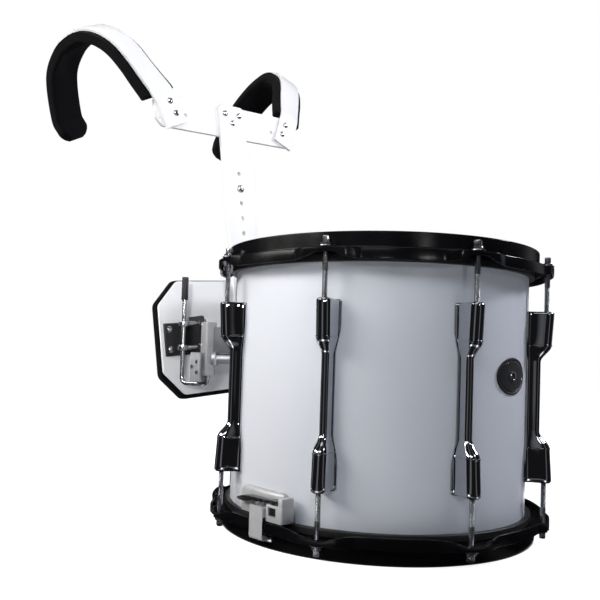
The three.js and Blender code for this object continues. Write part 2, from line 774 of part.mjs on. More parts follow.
// A flat lever on the pivot block that follows the shell and dips towards its tip
function makeLever(way, pivotOut, middle, top) {
  const low = top + seatGap;
  const start = middle;
  const end = middle + leverReach;
  const steps = rodSides;
  const rings = [];
  for (let i = 0; i <= steps; i += 1) {
    const share = i / steps;
    const along = THREE.MathUtils.lerp(start, end, share);
    const follow = pivotOut + Math.sqrt(shellRadius ** 2 - (along * share) ** 2) - shellRadius;
    const drop = leverDip * share * share;
    const half = (leverWidth / 2) * (1 - share / 4);
    rings.push([[follow - half, low - drop], [follow + half, low - drop],
      [follow + half, low - drop + leverThickness], [follow - half, low - drop + leverThickness],
    ].map(([out, z]) => beside(way, out, along, z)));
  }
  const hub = bar(leverPivotRadius, beside(way, pivotOut, middle, low),
    beside(way, pivotOut, middle, low + leverThickness + seatGap), smallSides);
  const pin = bar(leverPinRadius, beside(way, pivotOut, middle, low + leverThickness / 2),
    beside(way, pivotOut, middle, top - leverPinDepth));
  addMesh('strainer_lever', join(skin(rings), hub, pin), darkChrome);
}

function makeButt() {
  const way = 1;
  const face = shellRadius + backPlateDepth;
  const high = buttBottom + buttHeight;
  const slotHalf = strapWidth / 2 + seatGap;
  const strapFace = strapInner + strapThickness;
  const foot = curvedFoot(90, -buttHalf, buttHalf, face, buttBottom, high);
  const jaw = sideBlock(way, face - overrun, strapFace + slideWall, -slotHalf - slideWall / 2,
    slotHalf + slideWall / 2, slideBottom, slideBottom + slideHeight);
  const slot = sideBlock(way, strapInner - strapThickness, strapFace, -slotHalf, slotHalf,
    slideBottom - overrun, slideBottom + slideHeight + overrun);
  addMesh('butt_plate', cut(join(foot, jaw), slot), chrome);
}

// A foot on the shell, a stud, an upright post and a hollow socket, notched below for the J-rod
function makeMount(name, way) {
  const angle = way * mountAngle;
  const [out, side] = [outward(angle), sideways(angle)];
  const place = (r, across, z) => at(0, 0, z).addScaledVector(out, r).addScaledVector(side, across);
  const turned = (r1, r2, half, low, high) => skin([low, high].map((z) => [
    place(r1, -half, z), place(r1, half, z), place(r2, half, z), place(r2, -half, z)]));
  const footLow = studHeight - mountFootHeight / 3;
  const foot = curvedFoot(angle, -mountFootWidth / 2, mountFootWidth / 2,
    shellRadius + mountFootDepth, footLow, footLow + mountFootHeight);
  const stud = bar(studRadius, place(shellRadius + mountFootDepth / 2, 0, studHeight),
    place(postCircle, 0, studHeight), smallSides);
  const socketTop = studHeight + studRadius + socketWall / 4;
  const socketLow = socketTop - socketHeight;
  const post = bar(postRadius, place(postCircle, 0, socketTop - overrun),
    place(postCircle, 0, socketTop + postHeight), 2 * rodSides);
  const gusset = turned(shellRadius + mountFootDepth / 2, postCircle, gussetWidth / 2,
    socketTop - overrun, socketTop + gussetHeight);
  const socketBody = turned(socketCircle - socketDepth / 2, socketCircle + socketDepth / 2,
    socketWidth / 2, socketLow, socketTop);
  const cavity = turned(socketCircle - socketDepth / 2 + socketWall, socketCircle + socketDepth / 2 - socketWall,
    socketWidth / 2 - socketWall, socketLow + socketWall, socketTop - socketWall - studRadius / 2);
  const [tipSide, tipBack, tipRoom] = [way * jRodSide, jRodBack - jReach, jRodRadius + jTipGap];
  const notch = block(at(tipSide - tipRoom, tipBack - tipRoom, socketLow - overrun),
    at(tipSide + tipRoom, tipBack + socketDepth, socketLow + socketWall + overrun));
  const slots = [-1, 0, 1].map((step) => {
    const across = step * (socketWidth / 3.4);
    const z = socketLow + socketHeight / 2;
    return skin([z - socketSlotHeight / 2, z + socketSlotHeight / 2].map((level) => [
      place(socketCircle, across - socketSlotWidth / 2, level),
      place(socketCircle, across + socketSlotWidth / 2, level),
      place(socketCircle + socketDepth, across + socketSlotWidth / 2, level),
      place(socketCircle + socketDepth, across - socketSlotWidth / 2, level)]));
  });
  const body = join(foot, stud, post, gusset, socketBody);
  addMesh(name, cut(body, cavity, notch, ...slots), chrome);
  return socketLow;
}

// A round section carried along a route that lies in one upright plane
function roundRoute(route, radius, sides) {
  return route.map((p, i) => {
    const before = route[Math.max(i - 1, 0)];
    const after = route[Math.min(i + 1, route.length - 1)];
    const run = after.clone().sub(before).normalize();
    const across = at(1, 0, 0);
    const up = run.clone().cross(across);
    return Array.from({ length: sides }, (_, j) => {
      const turn = (2 * Math.PI * j) / sides;
      return p.clone().addScaledVector(across, radius * Math.cos(turn))
        .addScaledVector(up, radius * Math.sin(turn));
    });
  });
}

function makeJRod(name, sleeveName, way, socketLow) {
  const x = way * jRodSide;
  const low = socketLow - seatGap - jRodRadius;
  const bend = (centreY, centreZ, from, to) => Array.from({ length: 6 }, (_, i) => {
    const turn = THREE.MathUtils.lerp(from, to, i / 5);
    return at(x, centreY + jBendRadius * Math.cos(turn), centreZ + jBendRadius * Math.sin(turn));
  });
  const tipBack = jRodBack - jReach;
  const route = [
    at(x, jRodBack, jRodTop),
    ...bend(jRodBack - jBendRadius, low + jBendRadius, 0, -Math.PI / 2),
    ...bend(tipBack + jBendRadius, low + jBendRadius, -Math.PI / 2, -Math.PI),
    at(x, tipBack, low + jBendRadius + jTipHeight),
  ];
  addMesh(name, skin(roundRoute(route, jRodRadius, rodSides)), chrome);
  const lift = way > 0 ? sleeveShift : 0;
  const base = at(x, jRodBack, jRodTop - sleeveLength + lift);
  const tube = bar(sleeveRadius, base, base.clone().setZ(base.z + sleeveLength), smallSides);
  const bore = bar(jRodRadius + 2 * seatGap, base.clone().setZ(base.z - overrun),
    base.clone().setZ(base.z + sleeveLength + overrun), smallSides);
  addMesh(sleeveName, cut(tube, bore), rubber);
}

// The carrier's sideways direction, and its tilt axis through the two upper eyes
const carrierTurn = new THREE.Euler(-degrees(leanBack), -degrees(leanAside), 0, 'YXZ');
const carrierAcross = at(1, 0, 0).applyEuler(carrierTurn);
const eyeRise = (way) => upperEyeHeight + (way + 1) * jRodSide * Math.tan(degrees(leanAside));

// The point of a line along the carrier's sideways direction that lies so far from its middle
function alongShank(start, away) {
  const home = at(0, carrierBack, carrierRise);
  const here = start.clone().sub(home).dot(carrierAcross);
  return start.clone().addScaledVector(carrierAcross, away - here);
}

function makeEyeBolt(name, way, drop) {
  const centre = at(way * jRodSide, jRodBack, eyeRise(way) - drop);
  const half = at(0, 0, eyeHeight / 2);
  const ring = bar(eyeRadius, centre.clone().sub(half), centre.clone().add(half));
  const bore = bar(eyeBore, centre.clone().sub(half.clone().multiplyScalar(2)),
    centre.clone().add(half.clone().multiplyScalar(2)));
  const inner = way * (bracketNear - bracketThickness - seatGap);
  const shank = bar(shankRadius, centre, alongShank(centre, inner - way * (eyeNutHeight + overrun)));
  const nut = bar(eyeNutRadius, alongShank(centre, inner), alongShank(centre, inner - way * eyeNutHeight), 6);
  addMesh(name, cut(join(ring, shank, nut), bore), chrome);
}

// In the carrier's own frame
const toCarrier = (point) => point.clone().sub(at(0, carrierBack, carrierRise))
  .applyQuaternion(new THREE.Quaternion().setFromEuler(carrierTurn).invert());

function makeBracket(name, way) {
  const plateFront = railFront + 2 * (barThickness + barGap);
  const front = plateFront - bracketThickness;
  const near = bracketNear - bracketThickness;
  const base = block(at(Math.min(way * near, way * bracketFar), front, bracketBottom),
    at(Math.max(way * near, way * bracketFar), plateFront, bracketTop));
  const cheek = block(at(Math.min(way * near, way * bracketNear), plateFront - cheekReach, bracketBottom),
    at(Math.max(way * near, way * bracketNear), front + overrun, cheekTop));
  const pivot = toCarrier(at(way * jRodSide, jRodBack, eyeRise(way)));
  const lower = toCarrier(at(way * jRodSide, jRodBack, eyeRise(way) - eyeSpacing));
  const tools = [];
  const ends = (p) => [at(way * (near - overrun), p.y, p.z), at(way * (bracketNear + overrun), p.y, p.z)];
  tools.push(bar(shankRadius + shankGap, ...ends(pivot)));
  const arm = lower.clone().sub(pivot).setX(0);
  const swing = tiltRange + 1;
  for (let i = 0; i <= rodSides; i += 1) {
    const turn = degrees(THREE.MathUtils.lerp(-swing, swing, i / rodSides));
    const spot = arm.clone().applyAxisAngle(at(1, 0, 0), turn).add(pivot);
    tools.push(bar(shankRadius + shankGap, ...ends(spot)));
  }
  addMesh(name, cut(join(base, cheek), ...tools), blackPaint, carrier);
}

function makeRail() {
  const outline = [
    [-railHalf, railBottom], [railHalf, railBottom], [railHalf, railTop - railCorner],
    [railHalf - railCorner, railTop], [-railHalf + railCorner, railTop], [-railHalf, railTop - railCorner],
  ];
  const holes = [];
  for (let i = 0; i < holeCount; i += 1) holes.push(roundHole(0, firstHole + i * holePitch, holeRadius + barGap));
  const front = plate(outline, holes, railFront, barThickness);
  const spacerBack = railFront + 2 * (barThickness + barGap);
  const spacer = block(at(-railHalf, railFront + barThickness / 2, railBottom), at(railHalf, spacerBack, -railBottom));
  addMesh('rail', join(front, spacer), white, carrier);
}

const stemFront = railFront + barThickness + barGap;
const boltHeights = [firstHole, firstHole + boltHole * holePitch];

function makeStem() {
  const outline = [
    [-stemHalf, stemBottom], [stemHalf, stemBottom], [stemHalf, crossbarTop - crossbarChamfer / 2],
    [stemHalf - crossbarChamfer / 2, crossbarTop], [-stemHalf + crossbarChamfer / 2, crossbarTop],
    [-stemHalf, crossbarTop - crossbarChamfer / 2],
  ];
  const slots = boltHeights.map((height) => slotHole(0, height - stemUp - stemSlotHalf,
    height + stemDown + stemSlotHalf, stemSlotHalf));
  addMesh('stem', plate(outline, slots, stemFront, barThickness), white, carrier);
}

function makeHeightBolt(name, height) {
  const back = stemFront + barThickness + barGap;
  const head = bar(boltHeadRadius, at(0, railFront - barGap, height),
    at(0, railFront - barGap - boltHeadHeight, height));
  const shank = bar(boltRadius, at(0, railFront - boltHeadHeight / 2, height), at(0, back + nutHeight / 2, height));
  const nut = bar(nutRadius, at(0, back, height), at(0, back + nutHeight, height), 6);
  addMesh(name, join(head, shank, nut), chrome, carrier);
}

function makeCrossbar() {
  const c = crossbarChamfer;
  const outline = [
    [-crossbarHalf + c, crossbarBottom], [crossbarHalf - c, crossbarBottom],
    [crossbarHalf, crossbarBottom + c], [crossbarHalf, crossbarTop - c],
    [crossbarHalf - c, crossbarTop], [-crossbarHalf + c, crossbarTop],
    [-crossbarHalf, crossbarTop - c], [-crossbarHalf, crossbarBottom + c],
  ];
  const holes = [-1, 1].map((way) => roundHole(way * crossbarHoleSide, crossbarBottom + crossbarHoleRise, holeRadius));
  addMesh('crossbar', plate(outline, holes, stemFront + barThickness, barThickness), white, carrier);
}

// The hook's route in its own plane: up along the chest, over the shoulder, down the back
function hookRoute() {
  const foot = [[0, 0], [hookFlat / 2, 0], [hookFlat, 0]];
  const bow = hookRouteShares.map(([up, back]) => [up * hookRise, back * hookReach]);
  return new THREE.SplineCurve([...foot, ...bow].map(([up, back]) => new THREE.Vector2(up, back)));
}

// One ring of a band along the hook; pairs give across and inward distances
function hookRing(way, route, share, pairs) {
  const lean = degrees(hookLean);
  const toe = degrees(hookToe);
  const twist = toe * THREE.MathUtils.clamp((share * route.getLength() - hookFlat) / hookTwist, 0, 1);
  const foot = at(way * hookBase, stemFront, hookFoot);
  const up = at(way * Math.sin(lean), 0, Math.cos(lean));
  const side = at(way * Math.cos(lean), 0, -Math.sin(lean));
  const back = at(0, Math.cos(toe), 0).addScaledVector(side, Math.sin(toe));
  const out = side.clone().multiplyScalar(Math.cos(twist)).add(at(0, -Math.sin(twist), 0));
  const centre = route.getPointAt(share);
  const run = route.getTangentAt(share);
  const inward = new THREE.Vector2(-run.y, run.x);
  return pairs.map(([across, depth]) => {
    const p = centre.clone().addScaledVector(inward, depth);
    return foot.clone().addScaledVector(up, p.x).addScaledVector(back, p.y).addScaledVector(out, across);
  });
}

// The steps that strap and pad share, from the pad's start to where its end begins to round
function sharedStops(route) {
  const first = shoulderPadStart / route.getLength();
  return Array.from({ length: hookSteps + 1 }, (_, i) => (
    THREE.MathUtils.lerp(first, padRoundShare, i / hookSteps)));
}

function makeHook(name, way) {
  const route = hookRoute();
  const half = hookWidth / 2;
  const pairs = [[-half, 0], [half, 0], [half, hookThickness], [-half, hookThickness]];
  const stops = [0, ...sharedStops(route), padEndShares[0][0]];
  addMesh(name, skin(stops.map((share) => hookRing(way, route, share, pairs))), white, carrier);
}

// A foam band inside the hook, rounded at its edges and at its lower end
function makeShoulderPad(name, way) {
  const route = hookRoute();
  const half = shoulderPadWidth / 2;
  const inner = hookThickness + seatGap;
  const stops = [...sharedStops(route).map((share) => [share, 1, 1]), ...padEndShares];
  const rings = stops.map(([share, width, thick]) => {
    const seat = Math.min(hookWidth / 2, half * width * padRoundShare);
    const sides = [1, -1].flatMap((hand) => {
      const points = padSectionShares.map(([across, depth]) => [
        hand * half * across * width, inner + shoulderPadThickness * depth * thick]);
      points.unshift([hand * seat, inner]);
      return hand > 0 ? points.reverse() : points;
    });
    return hookRing(way, route, share, sides);
  });
  const side = crossbarHalf + barGap;
  const besideBar = block(at(-side, stemFront, crossbarBottom),
    at(side, stemFront + 2 * barThickness + barGap, crossbarTop + barGap));
  addMesh(name, cut(skin(rings), besideBar), foam, carrier);
}

// An outline with its four corners cut off, in x and z
function octagon(half, low, high, chamfer) {
  return [
    [-half + chamfer, low], [half - chamfer, low], [half, low + chamfer], [half, high - chamfer],
    [half - chamfer, high], [-half + chamfer, high], [-half, high - chamfer], [-half, low + chamfer],
  ];
}

function makeBelly() {
  const front = railFront + 2 * (barThickness + barGap) + barGap / 2;
  const outline = octagon(plateHalf, plateBottom, plateTop, plateChamfer);
  addMesh('belly_plate', plate(outline, [], front, plateThickness), white, carrier);
  const padFront = front + plateThickness + seatGap;
  const sizes = [[0, 0], [0.25, 0], [0.8, 0], [1, bellyPadCrown]];
  const rings = sizes.map(([share, inset]) => octagon(plateHalf + bellyPadMargin - inset,
    plateBottom - bellyPadDrop + inset, plateTop + bellyPadMargin - inset, plateChamfer)
    .map(([x, z]) => at(x, padFront + bellyPadThickness * share, z)));
  addMesh('belly_pad', skin(rings), foam, carrier);
}

function makeCarrier() {
  makeRail();
  makeStem();
  makeHeightBolt('height_bolt_upper', boltHeights[1]);
  makeHeightBolt('height_bolt_lower', boltHeights[0]);
  makeCrossbar();
  makeBelly();
  for (const [side, way] of [['right', -1], ['left', 1]]) {
    makeHook(`shoulder_hook_${side}`, way);
    makeShoulderPad(`shoulder_pad_${side}`, way);
    makeBracket(`rod_bracket_${side}`, way);
    makeEyeBolt(`eye_bolt_upper_${side}`, way, 0);
    makeEyeBolt(`eye_bolt_lower_${side}`, way, eyeSpacing);
    const socketLow = makeMount(`carrier_mount_${side}`, way);
    makeJRod(`j_rod_${side}`, `rod_sleeve_${side}`, way, socketLow);
  }
}

makeShell();
makeHeads();
makeHoop('top_hoop', false);
makeHoop('bottom_hoop', true);
makeTensioning();
makeSnares();
makeStrap('snare_strap_strainer', -1);
makeStrap('snare_strap_butt', 1);
makeStrainer();
makeButt();
makeCarrier();

// The origin is the middle of the footprint of the whole object, on the surface it stands on
part.updateMatrixWorld(true);
const bounds = new THREE.Box3().setFromObject(part, true);
const middle = bounds.getCenter(new THREE.Vector3());
part.position.set(-middle.x, -middle.y, -bounds.min.z);

export default part;
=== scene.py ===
# %% [markdown]
# # A marching snare drum on its shoulder carrier
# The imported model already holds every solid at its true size, and it never moves here. This script
# dresses it: it adds the fine shapes, gives each surface its finish, and sets up a camera and a
# plain studio. All lengths are worked out in millimetres around the drum's own axis, because that
# is how a drum maker measures, and are turned into metres at the last moment.

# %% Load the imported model
import json
import math
import bmesh
import bpy
import numpy as np
from mathutils import Matrix, Vector


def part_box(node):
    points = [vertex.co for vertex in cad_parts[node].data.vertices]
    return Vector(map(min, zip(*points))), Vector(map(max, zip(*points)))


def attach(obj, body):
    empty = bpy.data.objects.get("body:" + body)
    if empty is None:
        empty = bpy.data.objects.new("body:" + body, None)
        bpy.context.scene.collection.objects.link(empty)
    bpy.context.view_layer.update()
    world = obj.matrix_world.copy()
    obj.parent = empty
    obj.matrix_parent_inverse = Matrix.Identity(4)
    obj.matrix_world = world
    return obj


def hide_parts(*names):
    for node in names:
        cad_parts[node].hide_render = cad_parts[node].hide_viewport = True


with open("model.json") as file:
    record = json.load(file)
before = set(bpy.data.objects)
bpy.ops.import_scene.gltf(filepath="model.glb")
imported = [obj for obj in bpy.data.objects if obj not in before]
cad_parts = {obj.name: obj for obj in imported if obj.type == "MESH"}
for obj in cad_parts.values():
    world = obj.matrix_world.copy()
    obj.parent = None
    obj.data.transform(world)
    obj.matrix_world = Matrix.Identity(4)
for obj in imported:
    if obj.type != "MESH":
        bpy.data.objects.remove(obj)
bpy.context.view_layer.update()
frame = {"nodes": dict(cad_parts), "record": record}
nodes = frame["nodes"]

# %% [markdown]
# ## Places
# The drum stands upright, so its own frame is the row's frame moved to the shell's middle. The
# carrier hangs tilted: it leans back and to one side, so it has three directions of its own:
# across, back and up. Two small functions carry points from either frame to the row.

# %% The drum's frame and the carrier's frame
MM = 0.001
low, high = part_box("shell")
DRUM_AXIS = np.array([(low.x + high.x) / 2, (low.y + high.y) / 2, 0.0])
LEAN_BACK, LEAN_ASIDE = math.radians(4.1), math.radians(5.3)
ACROSS = np.array([math.cos(LEAN_ASIDE), 0.0, math.sin(LEAN_ASIDE)])
UP = np.array([-math.sin(LEAN_ASIDE) * math.cos(LEAN_BACK), math.sin(LEAN_BACK),
               math.cos(LEAN_ASIDE) * math.cos(LEAN_BACK)])
BACK = np.cross(UP, ACROSS)
CARRIER_HOME = np.array([0.0, 200.0, 230.0])
SIDES = (("right", -1), ("left", 1))  # the wearer's: they stand behind the drum and look along -y


def from_carrier(points):
    """Across, back and up in the carrier's frame become x, y and z in the drum's."""
    return CARRIER_HOME + np.asarray(points, float) @ np.stack([ACROSS, BACK, UP])


def to_carrier(point):
    """A point of the drum's frame told in the carrier's frame."""
    return (np.asarray(point, float) - CARRIER_HOME) @ np.stack([ACROSS, BACK, UP]).T


def outward(angle):
    """The level direction that leaves the drum's axis at an angle in degrees from the front."""
    turn = np.radians(angle)
    return np.stack([np.sin(turn), -np.cos(turn), 0 * turn], -1)


def sideways(angle):
    """The level direction along the shell there, at right angles to outward."""
    return outward(np.asarray(angle, float) + 90)


def add_object(name, data):
    """A new object at the origin, linked to the scene."""
    made = bpy.data.objects.new(name, data)
    bpy.context.scene.collection.objects.link(made)
    return made


print("drum axis:", DRUM_AXIS.round(4), "carrier back:", BACK.round(4))

# %% [markdown]
# ## The camera
# It stands low and to the drum's left, where the photograph was taken: its place, its turn and its
# lens were worked out from the ellipses of the two hoops and the eight lugs. The shift moves the
# picture's middle without turning the camera, so upright edges stay upright.

# %% Set up the camera
def look_matrix(place, right, up):
    """The camera's own axes are right, up and backwards, so those are the columns of its turn."""
    right, up = Vector(right).normalized(), Vector(up)
    back = right.cross(up).normalized()
    return Matrix.LocRotScale(Vector(place), Matrix((right, back.cross(right), back)).transposed(), None)


camera_data = bpy.data.cameras.new("camera")
camera_data.lens, camera_data.sensor_width = 42.3, 36.0
camera_data.shift_x, camera_data.shift_y = 0.0363, 0.0467
camera_data.clip_start, camera_data.clip_end = 0.05, 50.0
camera = add_object("camera", camera_data)
camera_place = np.array([-701.0, -552.9, 206.2]) * MM + DRUM_AXIS
camera.matrix_world = look_matrix(camera_place, (0.7219, -0.6912, 0.033), (-0.0474, -0.0018, 0.9989))
bpy.context.scene.camera = camera
print("camera at", camera_place.round(3), "lens", camera_data.lens)

# %% [markdown]
# ## Surfaces from grids
# Nearly every piece here is a closed outline carried through space, so a few tools are enough: one
# that rounds the corners of an outline, one that joins a stack of outlines into a skin, and some
# that set circles and outlines along a line. All work on whole arrays.

# %% Outline and skin helpers
SQUARE = np.array([(-1, -1), (1, -1), (1, 1), (-1, 1)])


def bend(start, corner, end, t):
    """(1-t)^2 start + 2t(1-t) corner + t^2 end: a curve that leaves and meets both straight sides."""
    return (1 - t) ** 2 * start + 2 * t * (1 - t) * corner + t ** 2 * end


def rounded(outline, radius, steps=4, closed=True):
    """Each corner becomes a bend between two places on the edges beside it, at the given radius or
    at 45 percent of the shorter edge. Works on the last two axes (points, coordinates), so a whole
    stack of outlines is rounded at once."""
    p = np.asarray(outline, float)
    before, after = np.roll(p, 1, axis=-2), np.roll(p, -1, axis=-2)
    if not closed:
        before[..., 0, :], after[..., -1, :] = p[..., 0, :], p[..., -1, :]
    ways = [before - p, after - p]
    long = [np.linalg.norm(way, axis=-1) for way in ways]
    size = np.minimum(np.broadcast_to(radius, p.shape[:-1]), 0.45 * np.minimum(*long))[..., None]
    a, b = (p + way / np.maximum(length, 1e-9)[..., None] * size for way, length in zip(ways, long))
    t = np.linspace(0, 1, steps)[:, None]
    curve = bend(*(place[..., None, :] for place in (a, p, b)), t)
    made = curve.reshape(*p.shape[:-2], -1, p.shape[-1])
    return made if closed else made[..., steps - 1:-(steps - 1) or None, :]


def distinct(path):
    """A path without the points that repeat the one before them."""
    return path[np.r_[True, np.linalg.norm(np.diff(path, axis=0), axis=1) > 1e-3]]


def smooth_step(t):
    """3t^2 - 2t^3 between 0 and 1."""
    t = np.clip(t, 0, 1)
    return t * t * (3 - 2 * t)


def spokes(angle):
    """Points (cos a, sin a) for angles in degrees."""
    turn = np.radians(angle)
    return np.stack([np.cos(turn), np.sin(turn)], -1)


def arc(centre, radius, start, end, steps):
    """Points of a circle about a centre, from one angle in degrees to another."""
    return centre + radius * spokes(np.linspace(start, end, steps))


def circle(radius, sides):
    """An arc all the way round, whose last point isn't the first one again."""
    return arc((0, 0), radius, 0, 360, sides + 1)[:-1]


def raised(outline, z):
    """A flat outline as points at one height."""
    return np.column_stack([outline, np.full(len(outline), z)])


def soft_ends(low, high, steps):
    """Each (inset, rise) step above the low end, and the same steps turned over at the high end."""
    return [(inset, low + z) for inset, z in steps] + [(inset, high - z) for inset, z in steps[::-1]]


def round_rings(profile, sides=14):
    """One level ring of points for each (radius, height) pair."""
    return np.stack([raised(circle(radius, sides), z) for radius, z in profile])


def skin(rings, around=False, capped=True):
    """Quads between each ring and the next; rings is (count, points, 3). around joins the last ring
    to the first, and otherwise each end is closed by one flat face."""
    rings = np.asarray(rings, float)
    count, points = rings.shape[:2]
    i = np.arange(count if around else count - 1)[:, None]
    j = np.arange(points)[None, :]
    k, n = (i + 1) % count, (j + 1) % points
    quads = np.stack([i * points + j, i * points + n, k * points + n, k * points + j], -1).reshape(-1, 4)
    faces = quads.tolist()
    if capped and not around:
        faces += [list(range(points))[::-1], list(range((count - 1) * points, count * points))]
    return rings.reshape(-1, 3), faces


def along(rings, base, way, helper=2):
    """Carries upright rings so that their own height runs from base along way. Their own x runs at
    right angles to way and to the helper axis, or to the next axis where way is close to that."""
    way = np.asarray(way, float) / np.linalg.norm(way)
    first = np.cross(way, np.eye(3)[helper if abs(way[helper]) < 0.9 else (helper + 1) % 3])
    first /= np.linalg.norm(first)
    return np.asarray(base, float) + np.asarray(rings, float) @ np.stack([first, np.cross(way, first), way])


def turned(profile, sides=64, base=(0, 0, 0), way=(0, 0, 1)):
    """A profile of (radius, height) pairs turned round the line through base along way. A profile
    that starts and ends on the line gets pointed ends, which are welded when the piece is made."""
    return skin(along(round_rings(profile, sides), base, way, helper=0), capped=False)


def carried(outline, path, across=(0, 0, 1)):
    """An outline of (side, depth) pairs carried along a path: side lies along across, and depth
    along the direction at right angles to across and to the path."""
    run = np.gradient(path, axis=0)
    depth = np.cross(run / np.linalg.norm(run, axis=1)[:, None], across)
    depth /= np.linalg.norm(depth, axis=1)[:, None]
    return path[:, None] + outline[:, 0, None] * np.array(across) + outline[None, :, 1, None] * depth[:, None]


def put_together(*skins):
    """Several skins become one list of points and one of faces."""
    points, faces, count = [], [], 0
    for p, f in skins:
        points.append(p)
        faces += [[v + count for v in face] for face in f]
        count += len(p)
    return np.concatenate(points), faces


print("a ring of 24 by 24:", turned([(1, 0), (1, 1)], 24)[0].shape)

# %% [markdown]
# ## The studio
# A drum of white lacquer and mirror chrome shows the room more than its own colour. So the room is
# plain: a pale floor, a faint sky, five soft lamps that let the white shell run from light to grey
# as it turns away, and two narrow beams on the white carrier. A dark ring round the set, which only
# mirrors see, gives the chrome its dark bands. Camera rays see pure white, so the background is
# white without more light on the object.

# %% Build the floor, the world and the lamps
WHITE = (1, 1, 1, 1)
SKY_LEVEL, SKY_STOPS = 0.02, ((0.25, (0.26, 0.38, 0.60, 1)), (0.85, (0.48, 0.68, 1.0, 1)))
FLOOR_COLOUR, FLOOR_HALF, FLOOR_DROP = (0.50, 0.50, 0.51, 1), 6.0, 0.0004
FLOOR_GLOW, GLOW_NEAR, GLOW_FAR = 0.90, 0.5, 1.8
FLAG_PROFILE, FLAG_DARK = [(0.19, 0.001), (2.6, 0.001), (2.6, 2.3), (1.15, 3.2)], 0.012
FLAG_BANDS = [(-105, 16, 0.30), (-62, 3, 0.12), (-20, 5, 0.20), (40, 8, 0.30), (110, 14, 0.25), (175, 10, 0.2)]
RING_AWAY, RING_HALF, RING_LEVEL = 0.335, 0.05, 22.0
LAMP_AWAY, LAMP_TARGET = 2.2, np.array([0, 0, 0.2])


def feed(tree, socket, value):
    """Links another socket into this one, or sets its plain value."""
    if isinstance(value, bpy.types.NodeSocket):
        tree.links.new(value, socket)
    else:
        socket.default_value = value


def node(tree, kind, *numbered, use=None, **named):
    """Adds a shader node. use holds its settings, and its inputs are fed by number or by name."""
    made = tree.nodes.new("ShaderNode" + kind)
    for label, value in (use or {}).items():
        setattr(made, label, value)
    for socket, value in zip(made.inputs, numbered):
        feed(tree, socket, value)
    for label, value in named.items():
        feed(tree, made.inputs[label], value)
    return made


def maths(tree, operation, *values):
    """The result of one arithmetic node."""
    return node(tree, "Math", *values, use={"operation": operation}).outputs[0]


def spread(tree, value, *ends):
    """Stretches a value from one range to another; the ends are low and high in, low and high out."""
    return node(tree, "MapRange", value, *ends).outputs[0]


def empty_tree(owner):
    """The shader tree of a world or a material, with nothing in it."""
    owner.use_nodes = True
    owner.node_tree.nodes.clear()
    return owner.node_tree


def seen_share(tree):
    """1 for camera, mirror and see-through rays and 0 for all others: these rays see the white."""
    path = node(tree, "LightPath").outputs
    direct = maths(tree, "MAXIMUM", path["Is Camera Ray"], path["Is Glossy Ray"])
    return maths(tree, "MAXIMUM", direct, path["Is Transmission Ray"])


def make_world():
    """White where it is seen, and a softer sky, lighter above than below, that lights the object."""
    world = bpy.data.worlds.new("studio")
    bpy.context.scene.world = world
    tree = empty_tree(world)
    way = node(tree, "SeparateXYZ", node(tree, "TexCoord").outputs["Generated"])
    ramp = node(tree, "ValToRGB", spread(tree, way.outputs["Z"], -1))
    for stop, (place, colour) in zip(ramp.color_ramp.elements, SKY_STOPS):
        stop.position, stop.color = place, colour
    sky = node(tree, "Background", ramp.outputs["Color"], SKY_LEVEL)
    white = node(tree, "Background", WHITE, 1.0)
    mix = node(tree, "MixShader", seen_share(tree), sky.outputs[0], white.outputs[0])
    node(tree, "OutputWorld", mix.outputs[0])


def make_floor():
    """Pale and matt. Its own glow, seen as the world's white is, keeps its far part white, and the
    object's shadow still shows in the part that only reflects."""
    mesh = bpy.data.meshes.new("floor")
    mesh.from_pydata(raised(SQUARE * FLOOR_HALF, -FLOOR_DROP).tolist(), [], [(0, 1, 2, 3)])
    paint = bpy.data.materials.new("pale_floor")
    tree = empty_tree(paint)
    where = node(tree, "TexCoord").outputs["Object"]
    away = node(tree, "VectorMath", where, DRUM_AXIS, use={"operation": "DISTANCE"}).outputs["Value"]
    reach = spread(tree, away, GLOW_NEAR, GLOW_FAR, FLOOR_GLOW, 1.0)
    glow = node(tree, "Emission", WHITE, maths(tree, "MULTIPLY", seen_share(tree), reach))
    both = node(tree, "AddShader", node(tree, "BsdfDiffuse", FLOOR_COLOUR).outputs[0], glow.outputs[0])
    node(tree, "OutputMaterial", both.outputs[0])
    mesh.materials.append(paint)
    add_object("floor", mesh)


